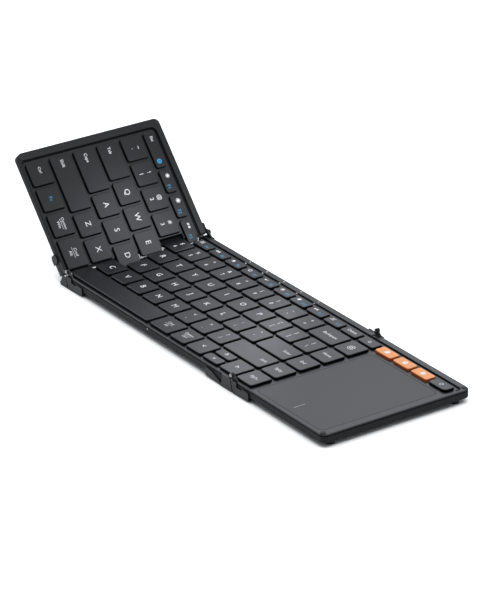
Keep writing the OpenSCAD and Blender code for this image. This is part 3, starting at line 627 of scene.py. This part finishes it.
@dataclass(frozen=True)
class Word:
    """One line of lettering on a cap.

    Args:
        text: what is printed.
        x: offset from the cap's middle, in millimetres.
        y: offset from the cap's middle towards the back, in millimetres.
        size: height of its capitals, in millimetres.
        ink: the ink it is printed in.
        side: how the line is held to its anchor point.
    """

    text: str
    x: float = 0.0
    y: float = 0.0
    size: float = LETTER_SIZE
    ink: Ink = Ink.WHITE
    side: Side = Side.CENTRE


@dataclass(frozen=True)
class Mark:
    """A small printed ring or disc.

    Args:
        x: offset from the cap's middle, in millimetres.
        y: offset from the cap's middle towards the back, in millimetres.
        outer: outer radius, in millimetres.
        inner: inner radius, or 0 for a disc.
        ink: the ink it is printed in.
        outline: its outline.
    """

    x: float
    y: float
    outer: float
    inner: float = 0.0
    ink: Ink = Ink.WHITE
    outline: Outline = Outline.ROUND


@dataclass(frozen=True)
class Bar:
    """A printed rule between two words.

    Args:
        x: offset from the cap's middle, in millimetres.
        y: offset from the cap's middle towards the back, in millimetres.
        length: its length, in millimetres.
        weight: its thickness, in millimetres.
        ink: the ink it is printed in.
    """

    x: float
    y: float
    length: float
    weight: float
    ink: Ink = Ink.WHITE


@dataclass
class Cap:
    """One key with what is printed on it.

    Args:
        node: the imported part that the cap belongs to.
        panel: the panel it stands on.
        row: its row from the front.
        x0: left edge of its cell, in millimetres.
        width: width of its cell, in key pitches.
        prints: the lettering and the marks on it.
        y0: front edge of its cell, where the cell is only part of the row.
        depth: depth of the cell, where it is only part of the row.
    """

    node: str
    panel: Panel
    row: int
    x0: float
    width: float
    prints: Prints
    y0: float | None = None
    depth: float | None = None

    @property
    def middle(self) -> tuple[float, float]:
        """Middle of the cap in the layout, in millimetres."""
        front = self.row * PITCH if self.y0 is None else self.y0
        depth = ROW_DEPTHS[self.row] if self.depth is None else self.depth
        return self.x0 + self.width * PITCH / 2, front + depth / 2


def letter(text: str) -> Prints:
    """Print one letter in the middle of its cap.

    Args:
        text: the letter.

    Returns:
        The prints of the cap.
    """
    return (Word(text),)


def pair(low: str, high: str) -> Prints:
    """Print a sign above another one.

    Args:
        low: the sign nearer the front.
        high: the sign nearer the back.

    Returns:
        The prints of the cap.
    """
    return (Word(low, 0, -3.0, SIGN_SIZE), Word(high, 0, 3.2, SIGN_SIZE))


def stacked(top: str, bottom: str) -> Prints:
    """Print two short words, one above the other, with a rule between them.

    Args:
        top: the word nearer the back.
        bottom: the word nearer the front.

    Returns:
        The prints of the cap.
    """
    return (Word(top, 0, 2.0, SMALL_SIZE), Word(bottom, 0, -2.0, SMALL_SIZE), Bar(0, 0, 7.6, 0.25))


def titled(text: str, x: float = 0.0, size: float = NAME_SIZE) -> Prints:
    """Print the name of a key in its middle.

    Args:
        text: the name.
        x: offset from the cap's middle, in millimetres.
        size: height of its capitals, in millimetres.

    Returns:
        The prints of the cap.
    """
    return (Word(text, x, 0, size),)


def function(number: int) -> Prints:
    """Print a function key: a white sign, and its label in blue.

    Args:
        number: the key's number, which also picks its sign.

    Returns:
        The prints of the cap.
    """
    x, y = -3.7, 1.1
    triangle, square = Outline.TRIANGLE, Outline.SQUARE
    signs = (
        (Mark(x, y, 0.9), Mark(x, y, 1.5, 1.2)),
        (Mark(x, y, 1.1), Mark(x, y, 1.7, 1.45)),
        (Mark(x - 1.0, y, 1.1, 0.6, outline=square), Mark(x + 1.2, y, 1.1, outline=square)),
        tuple(Bar(x, y + step, 3.6, 0.4) for step in (-1.1, 0.0, 1.1)),
        (Mark(x - 1.1, y, 1.2, 0.75, outline=square), Mark(x + 1.1, y, 1.2, 0.75, outline=square)),
        (Mark(x, y, 1.5, 0.95, outline=triangle), Bar(x, y - 1.4, 2.2, 0.35)),
        (Mark(x, y, 1.5, 1.05), Bar(x + 0.9, y - 1.2, 1.3, 0.4)),
        (Mark(x - 0.8, y, 1.2, outline=triangle), Bar(x + 1.2, y, 0.4, 2.0)),
    )
    label = Word(f"F{number}", 4.2, -1.2, LABEL_SIZE, Ink.BLUE)
    return (*signs[(number - 1) % len(signs)], label)


def left_word(text: str, edge: float) -> Prints:
    """Print a word at the left edge of a wide cap.

    Args:
        text: the word.
        edge: half the cap's width, in millimetres.

    Returns:
        The prints of the cap.
    """
    return (Word(text, 2.6 - edge, 0, NAME_SIZE, Ink.WHITE, Side.LEFT),)


def right_word(text: str, edge: float) -> Prints:
    """Print a word at the right edge of a wide cap.

    Args:
        text: the word.
        edge: half the cap's width, in millimetres.

    Returns:
        The prints of the cap.
    """
    return (Word(text, edge - 3.2, 0, NAME_SIZE, Ink.WHITE, Side.RIGHT),)


Key = tuple[str, float, Prints]


def cells(panel: Panel, row: int, start: float, keys: list[Key]) -> list[Cap]:
    """Lay keys side by side from a starting column.

    Args:
        panel: the panel the keys stand on.
        row: their row from the front.
        start: left edge of the first key, in key pitches.
        keys: each key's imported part, width in key pitches, and prints.

    Returns:
        The caps in order.
    """
    caps = []
    x = start * PITCH
    for node, width, prints in keys:
        caps.append(Cap(node, panel, row, x, width, prints))
        x += width * PITCH
    return caps


def run(node: str, prints: list[Prints]) -> list[Key]:
    """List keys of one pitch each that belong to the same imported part.

    Args:
        node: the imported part.
        prints: what is printed on each key.

    Returns:
        Entries for cells().
    """
    return [(node, 1.0, p) for p in prints]


def left_caps() -> list[Cap]:
    """List the keys of the left panel.

    Returns:
        The caps of the panel.
    """
    letters = "left_letter_keys"
    bottom = [
        ("left_bottom_keys", 1, (Word("Ctrl", -2.4, 0.6, 2.0),)),
        ("left_bottom_keys", 1, (Word("Fn", 0, 0, LABEL_SIZE, Ink.BLUE),)),
        ("left_bottom_keys", 1, stacked("Option", "Win")),
        ("left_bottom_keys", 1.25, stacked("Cmd", "Alt")),
    ]
    escape = (
        Word("Esc", -8.2, 1.0, SMALL_SIZE),
        Mark(8.6, -0.3, 1.75, 1.05, Ink.CYAN),
        Mark(8.6, -0.3, 0.55, 0.0, Ink.CYAN),
    )
    numbers = [pair("`", "~"), pair("1", "!"), pair("2", "@"), pair("3", "#")]
    rows = [
        bottom,
        [("left_shift_key", 2.25, left_word("Shift", 20.2)), *run(letters, [*map(letter, "ZX")])],
        [("caps_key", 1.75, left_word("Caps", 15.4)), *run(letters, [*map(letter, "ASD")])],
        [("tab_key", 1.5, left_word("Tab", 13.0)), *run(letters, [*map(letter, "QWE")])],
        run("left_number_keys", numbers),
        [
            ("left_function_keys", 1.5, escape),
            *run("left_function_keys", [function(n) for n in (1, 2, 3)]),
        ],
    ]
    return [cap for row, keys in enumerate(rows) for cap in cells(Panel.LEFT, row, 0, keys)]


def centre_caps() -> list[Cap]:
    """List the keys of the centre panel.

    Returns:
        The caps of the panel.
    """
    bottom = [
        ("space_key", 5, ()),
        ("centre_bottom_keys", 1.25, stacked("Cmd", "Alt")),
        ("centre_bottom_keys", 1, stacked("Option", "Ctrl")),
        ("arrow_keys", 1, titled("<", size=LETTER_SIZE)),
    ]
    low = [*map(letter, "CVBNM"), pair(",", "<"), pair(".", ">"), pair("/", "?")]
    middle = [*map(letter, "FGHJKL"), pair(";", ":"), pair("'", '"')]
    upper = [*map(letter, "RTYUIOP"), pair("[", "{"), pair("]", "}"), pair("\\", "|")]
    numbers = [pair(*signs) for signs in ("4$", "5%", "6^", "7&", "8*", "9(", "0)", "-_", "=+")]
    functions = [*(function(n) for n in range(4, 13)), titled("Delete")]
    shift = ("right_shift_key", 2.25, right_word("Shift", 20.2))
    enter = ("enter_key", 1.75, right_word("Enter", 15.4))
    backspace = ("backspace_key", 1.5, titled("Backspace", 0.8, LABEL_SIZE))
    # Each row's first column, in key pitches, and its keys
    rows = [
        (4.25, bottom),
        (4.25, [*run("lower_letter_keys", low), shift]),
        (4.75, [*run("middle_letter_keys", middle), enter]),
        (4.5, run("upper_letter_keys", upper)),
        (4.0, [*run("centre_number_keys", numbers), backspace]),
        (4.5, run("centre_function_keys", functions)),
    ]
    caps = [
        cap
        for row, (start, keys) in enumerate(rows)
        for cap in cells(Panel.CENTRE, row, start, keys)
    ]
    # The last keys of the bottom row: down and up share a cell, one in front of the other
    x = 12.5 * PITCH
    half = PITCH / 2
    down, up = (Word("v", 0, 0.2, 3.4),), (Word("^", 0, -0.6, 4.6),)
    return caps + [
        Cap("arrow_keys", Panel.CENTRE, 0, x, 1, down, 0, half),
        Cap("arrow_keys", Panel.CENTRE, 0, x, 1, up, half, half),
        Cap("arrow_keys", Panel.CENTRE, 0, x + PITCH, 1, titled(">", size=LETTER_SIZE)),
    ]


def right_caps() -> list[Cap]:
    """List the keys of the right panel.

    Returns:
        The caps of the panel.
    """
    start = 14.5
    round_key = (Mark(0, 0, 2.7, 2.25), Mark(0, 0, 1.3, 0.7))
    column = [*map(titled, ("PgDn", "PgUp", "End", "Home")), round_key]
    caps = [
        cap
        for row, prints in enumerate(column)
        for cap in cells(Panel.RIGHT, row, start, run("navigation_keys", [prints]))
    ]
    disc = (Mark(0, 0, 1.9),)
    function_row = [
        ("capture_key", 1, (Mark(0, 0, 1.5, 1.1, outline=Outline.SQUARE),)),
        ("orange_key_left", 1, disc),
        ("orange_key_middle", 1, disc),
        ("orange_key_right", 1, disc),
        ("lock_key", 1, (Mark(0, 0, 1.4, 1.05),)),
    ]
    return caps + cells(Panel.RIGHT, FUNCTION_ROW, start, function_row)


class Printer:
    """Prints lettering and marks as thin meshes on the caps."""

    # Height of the font's capitals as a share of its size
    CAPITAL: ClassVar[float] = 0.69
    # How far the strokes are thickened, as a share of the size
    BOLD: ClassVar[float] = 0.006
    # Steps to a curve of a letter
    STEPS: ClassVar[int] = 3

    def word(self, word: Word) -> bpy.types.Object:
        """Draw one line of lettering as a mesh at the origin.

        Args:
            word: the line to draw.

        Returns:
            The mesh object.
        """
        deselect()
        bpy.ops.object.text_add()
        text = bpy.context.object
        text.data.body = word.text
        text.data.size = word.size / self.CAPITAL * MM
        text.data.offset = self.BOLD * text.data.size
        text.data.align_x = word.side.value
        text.data.align_y = "CENTER"
        text.data.resolution_u = self.STEPS
        bpy.ops.object.convert(target="MESH")
        return bpy.context.object

    def mark(self, mark: Mark) -> bpy.types.Object:
        """Draw a ring or a disc as a mesh at the origin.

        Args:
            mark: the mark to draw.

        Returns:
            The mesh object.
        """
        deselect()
        turn = math.pi / 4 if mark.outline is Outline.SQUARE else 0.0
        bpy.ops.mesh.primitive_circle_add(
            vertices=mark.outline.value,
            radius=mark.outer * MM,
            fill_type="NGON",
            rotation=(0, 0, turn),
        )
        disc = bpy.context.object
        if mark.inner:
            bpy.ops.object.mode_set(mode="EDIT")
            bpy.ops.mesh.select_all(action="SELECT")
            bpy.ops.mesh.inset(thickness=(mark.outer - mark.inner) * MM)
            bpy.ops.mesh.delete(type="FACE")
            bpy.ops.object.mode_set(mode="OBJECT")
        return disc

    def bar(self, bar: Bar) -> bpy.types.Object:
        """Draw a rule as a mesh at the origin.

        Args:
            bar: the rule to draw.

        Returns:
            The mesh object.
        """
        deselect()
        bpy.ops.mesh.primitive_plane_add(size=1)
        rule = bpy.context.object
        rule.matrix_world = Matrix.Diagonal((bar.length * MM, bar.weight * MM, 1, 1))
        return rule

    def stamp(self, item: Word | Mark | Bar, cap: Cap) -> bpy.types.Object:
        """Draw a print and set it down on its cap.

        Args:
            item: the print.
            cap: the cap it goes on.

        Returns:
            The mesh with its place applied.
        """
        draw = {Word: self.word, Mark: self.mark, Bar: self.bar}[type(item)]
        obj = draw(item)
        x, y = cap.middle
        spot = Matrix.Translation(place(x + item.x, y + item.y, KEY_TOP + PRINT_LIFT))
        return settle(obj, panel_matrix(cap.panel) @ spot @ obj.matrix_world)

    def print_all(self, caps: list[Cap]) -> None:
        """Print every cap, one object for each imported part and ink.

        Args:
            caps: the keys of the whole keyboard.
        """
        sheets: dict[tuple[str, Ink], list[bpy.types.Object]] = {}
        for cap in caps:
            for item in cap.prints:
                sheets.setdefault((cap.node, item.ink), []).append(self.stamp(item, cap))
        for (node, ink), parts in sheets.items():
            obj = join(parts, f"{node}_{ink.value}_legends")
            obj.data.materials.clear()
            obj.data.materials.append(INK_FINISHES[ink].build())
            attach(obj, body_of_node(node))
        LOG.info("printed %d caps in %d sheets", len(caps), len(sheets))


@dataclass(frozen=True)
class FoldTongues:
    """The plates of the left panel that carry the keys that hang over the fold.

    Args:
        reaches: how far each row's plate reaches past the fold axis, in millimetres.
        root: how far it starts before the axis, in millimetres.
        inset: what it leaves free at the front and the back of its row, in millimetres.
        height: height of its underside above the table, panel flat, in millimetres.
        thickness: its thickness, in millimetres.
        bevel: bevel of its edges, in millimetres.
    """

    reaches: tuple[tuple[int, float], ...] = ((2, 7.4), (3, 2.7), (5, 2.7))
    root: float = 0.4
    inset: float = 1.3
    height: float = 7.2
    thickness: float = 0.5
    bevel: float = 0.1

    def build(self) -> None:
        """Build the plates and let them ride on the left panel."""
        plates = join([self.plate(row, reach) for row, reach in self.reaches], "fold_tongues")
        plates.data.materials.append(SHELL_PLASTIC.build())
        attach(plates, "left_panel")
        LOG.info("built %d fold tongues", len(self.reaches))

    def plate(self, row: int, reach: float) -> bpy.types.Object:
        """Build one plate in the flat layout and raise it with its panel.

        Args:
            row: the row it lies in.
            reach: how far it reaches past the fold axis, in millimetres.

        Returns:
            The plate in its place.
        """
        front = row * PITCH + self.inset
        back = row * PITCH + ROW_DEPTHS[row] - self.inset
        low = place(LEFT_FOLD - self.root, front, self.height)
        high = place(LEFT_FOLD + reach, back, self.height + self.thickness)
        return box(low, high, self.bevel, Panel.LEFT)


@dataclass(frozen=True)
class GrooveStop:
    """The end wall of the back groove where the centre panel meets the left fold.

    Args:
        low: its lowest corner in the layout, in millimetres.
        high: its highest corner in the layout, in millimetres.
        bevel: bevel of its edges, in millimetres.
    """

    low: tuple[float, float, float] = (LEFT_FOLD + 0.35, 104.75, 5.0)
    high: tuple[float, float, float] = (LEFT_FOLD + 1.3, 111.9, DECK + 1.2)
    bevel: float = 0.2

    def build(self) -> None:
        """Build the wall and let it ride on the centre panel."""
        wall = box(place(*self.low), place(*self.high), self.bevel, Panel.CENTRE)
        wall.name = "groove_stop"
        wall.data.materials.append(DECK_PLASTIC.build())
        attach(wall, "centre_panel")
        LOG.info("built the groove stop")


@dataclass(frozen=True)
class PaintedRimGlints:
    """Painted glints: pale ticks in white ink on either side of the back groove, one pair to a
    function key, that stand in for small highlights.

    Args:
        start: place of the first pair along the rows, in millimetres.
        step: distance from one pair to the next, in millimetres.
        count: number of pairs.
        width: width of a tick, in millimetres.
        rows: the middle and the length of the two ticks of a pair, front to back.
    """

    start: float = 134.0
    step: float = 19.8
    count: int = 5
    width: float = 0.8
    rows: tuple[tuple[float, float], ...] = ((107.7, 1.0), (111.3, 1.1))

    def build(self) -> None:
        """Paint the ticks in pairs as painted glints and let them ride on the centre panel."""
        ticks = [
            patch(self.start + self.step * number, y, DECK + PRINT_LIFT, self.width, length)
            for number in range(self.count)
            for y, length in self.rows
        ]
        rim = join(ticks, "painted_rim_glints")
        # White ink here paints highlights, not a print
        rim.data.materials.append(WHITE_INK.build())
        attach(rim, "centre_panel")
        LOG.info("printed %d rim ticks", len(ticks))


@dataclass(frozen=True)
class TouchMark:
    """The short pale line printed near the touchpad's front edge.

    Args:
        middle: its middle in the layout, in millimetres.
        width: its width, in millimetres.
        length: its length, in millimetres.
    """

    middle: tuple[float, float] = (331.7, 11.25)
    width: float = 0.45
    length: float = 8.7

    def build(self) -> None:
        """Print the line and let it ride on the touchpad."""
        line = patch(*self.middle, DECK + PRINT_LIFT, self.width, self.length)
        line.name = "touchpad_line"
        line.data.materials.append(MARK_INK.build())
        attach(line, "touchpad")
        LOG.info("printed the touchpad line")


# ------------------------------------------------------------------ stage


# The faint blue of the photographed reflections
COOL_TINT = (0.88, 0.92, 1.0)


@dataclass(frozen=True)
class SoftBox:
    """A rectangular studio light.

    Args:
        name: what it is for.
        at: its place, in metres.
        aim: the point it looks at, in metres.
        size: width and height, in metres.
        power: its power, in watts.
        tint: its colour.
    """

    name: str
    at: tuple[float, float, float]
    aim: tuple[float, float, float]
    size: tuple[float, float]
    power: float
    tint: tuple[float, float, float] = (1.0, 1.0, 1.0)

    def build(self) -> None:
        """Set the light up."""
        data = bpy.data.lights.new(self.name, "AREA")
        data.shape = "RECTANGLE"
        data.size, data.size_y = self.size
        data.energy = self.power
        data.color = self.tint
        lamp = bpy.data.objects.new(self.name, data)
        bpy.context.scene.collection.objects.link(lamp)
        way = Vector(self.aim) - Vector(self.at)
        turn = way.to_track_quat("-Z", "Y").to_matrix().to_4x4()
        lamp.matrix_world = Matrix.Translation(self.at) @ turn


# Matt paper: no reflection of the object, so that only its shadow shows
TABLE_PAPER = Finish(
    "white matt table paper", "fbfbfb", "f9f9f9", 0.8, 0.05, 2.0, 0.01, specular=0.1
)

LAMPS = (
    # Even light from above, which carries the orange caps and the inks
    SoftBox("overhead box", (0.1, -0.1, 1.4), (0, 0, 0), (1.4, 1.0), 10),
    # Mirrored in the flat deck: the grey of the touchpad, fading towards the left fold
    SoftBox(
        "back left box", (-0.31, 0.43, 0.39), (0.237, 0.098, 0.107), (0.46, 0.3), 0.78, COOL_TINT
    ),
    # Lifts the raised panel's key tops
    SoftBox("front left box", (-1.12, -0.63, 0.77), (0.1, -0.05, 0), (0.7, 0.5), 3, COOL_TINT),
    # Mirrored in the chamfers of the right side
    SoftBox(
        "right edge box", (0.38, 0.257, 0.384), (0.17, 0, 0.01), (0.2, 0.2), 0.2, COOL_TINT
    ),
    # The glow on the raised keys next to the fold
    SoftBox(
        "fold sheen box", (-0.07, 0.06, 0.09), (-0.12, 0.01, 0.015), (0.05, 0.09), 0.04, COOL_TINT
    ),
)


@dataclass(frozen=True)
class PhotoCamera:
    """The camera that the photograph was taken with, fitted to the key grid.

    Args:
        azimuth: how far it stands round to the right of the front, in degrees.
        elevation: how far it stands above the table's plane, in degrees.
        roll: its turn about its own axis, in degrees.
        aim: the point of the layout it looks at, in millimetres.
        distance: how far away it stands, in millimetres.
        focal: its focal length, in pixels of the photograph.
        height: height of the photograph, its longer side, in pixels.
        sensor: size of the sensor along that side, in millimetres.
    """

    azimuth: float = 55.5
    elevation: float = 24.76
    roll: float = -0.38
    aim: tuple[float, float, float] = (183.51, 68.69, KEY_TOP)
    distance: float = 2539.57
    focal: float = 3846.43
    height: int = 600
    sensor: float = 36.0

    def build(self) -> None:
        """Put the camera where the photograph was taken from."""
        azimuth, elevation, roll = map(math.radians, (self.azimuth, self.elevation, self.roll))
        level = Vector((math.sin(azimuth), -math.cos(azimuth), 0))
        back = level * math.cos(elevation) + Vector((0, 0, math.sin(elevation)))
        right = Vector((math.cos(azimuth), math.sin(azimuth), 0))
        up = back.cross(right)
        right_turned = math.cos(roll) * right + math.sin(roll) * up
        up_turned = -math.sin(roll) * right + math.cos(roll) * up
        data = bpy.data.cameras.new("photo camera")
        data.sensor_width = self.sensor
        data.lens = self.focal / self.height * self.sensor
        eye = bpy.data.objects.new("photo camera", data)
        bpy.context.scene.collection.objects.link(eye)
        turn = Matrix((right_turned, up_turned, back)).transposed()
        spot = place(*self.aim) + back * self.distance * MM
        eye.matrix_world = Matrix.Translation(spot) @ turn.to_4x4()
        bpy.context.scene.camera = eye


@dataclass(frozen=True)
class Studio:
    """Table, lights, background and camera.

    Args:
        lamps: the lights.
        eye: the camera.
        table_size: width of the table, in metres.
        glow: what the table adds to its own white for the camera.
        shade_reach: how far above the table a thing still shades the glow, in metres.
        shade_range: openness of the sky over the table where the glow starts and is full.
        lit_colour: linear colour of the background as a light.
        lit_strength: its strength.
    """

    lamps: tuple[SoftBox, ...] = LAMPS
    eye: PhotoCamera = PhotoCamera()
    table_size: float = 12.0
    glow: float = 0.6
    shade_reach: float = 0.02
    shade_range: tuple[float, float] = (0.3, 0.85)
    lit_colour: tuple[float, float, float, float] = (0.92, 0.955, 1.0, 1.0)
    lit_strength: float = 0.36

    def build(self) -> None:
        """Set the stage up and point the camera."""
        self.table()
        for lamp in self.lamps:
            lamp.build()
        self.background()
        self.eye.build()
        bpy.context.scene.view_settings.view_transform = "Standard"
        LOG.info("stage ready with %d lights", len(self.lamps))

    def table(self) -> None:
        """Lay the pale table top that the object stands on."""
        deselect()
        bpy.ops.mesh.primitive_plane_add(size=self.table_size)
        top = bpy.context.object
        top.name = "table_top"
        paper = TABLE_PAPER.build()
        self.lift_for_camera(paper)
        top.data.materials.append(paper)

    def lift_for_camera(self, paper: bpy.types.Material) -> None:
        """Let the table glow a little for the camera only, so that it photographs white.

        The glow fades by ambient occlusion where something stands close above the table, so that
        the table keeps its own shading there and the fall of the glow paints a soft contact shade
        around the object, in every pose.

        Args:
            paper: the table's material.
        """
        tree = paper.node_tree
        shader = next(n for n in tree.nodes if n.type == "BSDF_PRINCIPLED")
        shader.inputs["Emission Color"].default_value = (1, 1, 1, 1)
        ray = add_node(tree, "ShaderNodeLightPath")
        # Painted contact shade: the glow drops where the table is occluded
        openness = add_node(tree, "ShaderNodeAmbientOcclusion", Distance=self.shade_reach)
        start, full = self.shade_range
        ramp = add_node(
            tree, "ShaderNodeMapRange", From_Min=start, From_Max=full, To_Max=self.glow
        )
        glow = add_node(tree, "ShaderNodeMath", operation="MULTIPLY")
        link = tree.links.new
        link(openness.outputs["AO"], ramp.inputs["Value"])
        link(ray.outputs["Is Camera Ray"], glow.inputs[0])
        link(ramp.outputs["Result"], glow.inputs[1])
        link(glow.outputs[0], shader.inputs["Emission Strength"])

    def background(self) -> None:
        """Fill the background: white to the camera, softer as a light."""
        world = bpy.data.worlds.new("studio white")
        bpy.context.scene.world = world
        world.use_nodes = True
        tree = world.node_tree
        tree.nodes.clear()
        out = add_node(tree, "ShaderNodeOutputWorld")
        seen = add_node(tree, "ShaderNodeBackground", Color=(1, 1, 1, 1), Strength=1.0)
        lit = add_node(
            tree, "ShaderNodeBackground", Color=self.lit_colour, Strength=self.lit_strength
        )
        ray = add_node(tree, "ShaderNodeLightPath")
        mix = add_node(tree, "ShaderNodeMixShader")
        link = tree.links.new
        link(ray.outputs["Is Camera Ray"], mix.inputs[0])
        link(lit.outputs[0], mix.inputs[1])
        link(seen.outputs[0], mix.inputs[2])
        link(mix.outputs[0], out.inputs["Surface"])


class Keyboard:
    """The folding keyboard: painted parts and printed caps."""

    def build(self) -> None:
        """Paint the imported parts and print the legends."""
        paint_frame()
        Printer().print_all(left_caps() + centre_caps() + right_caps())
        TouchMark().build()
        PaintedRimGlints().build()
        FoldTongues().build()
        GrooveStop().build()


def main() -> None:
    """Build the object and its stage."""
    logging.basicConfig(level=logging.INFO)
    Keyboard().build()
    Studio().build()
    bpy.context.view_layer.update()


if __name__ == "__main__":
    main()
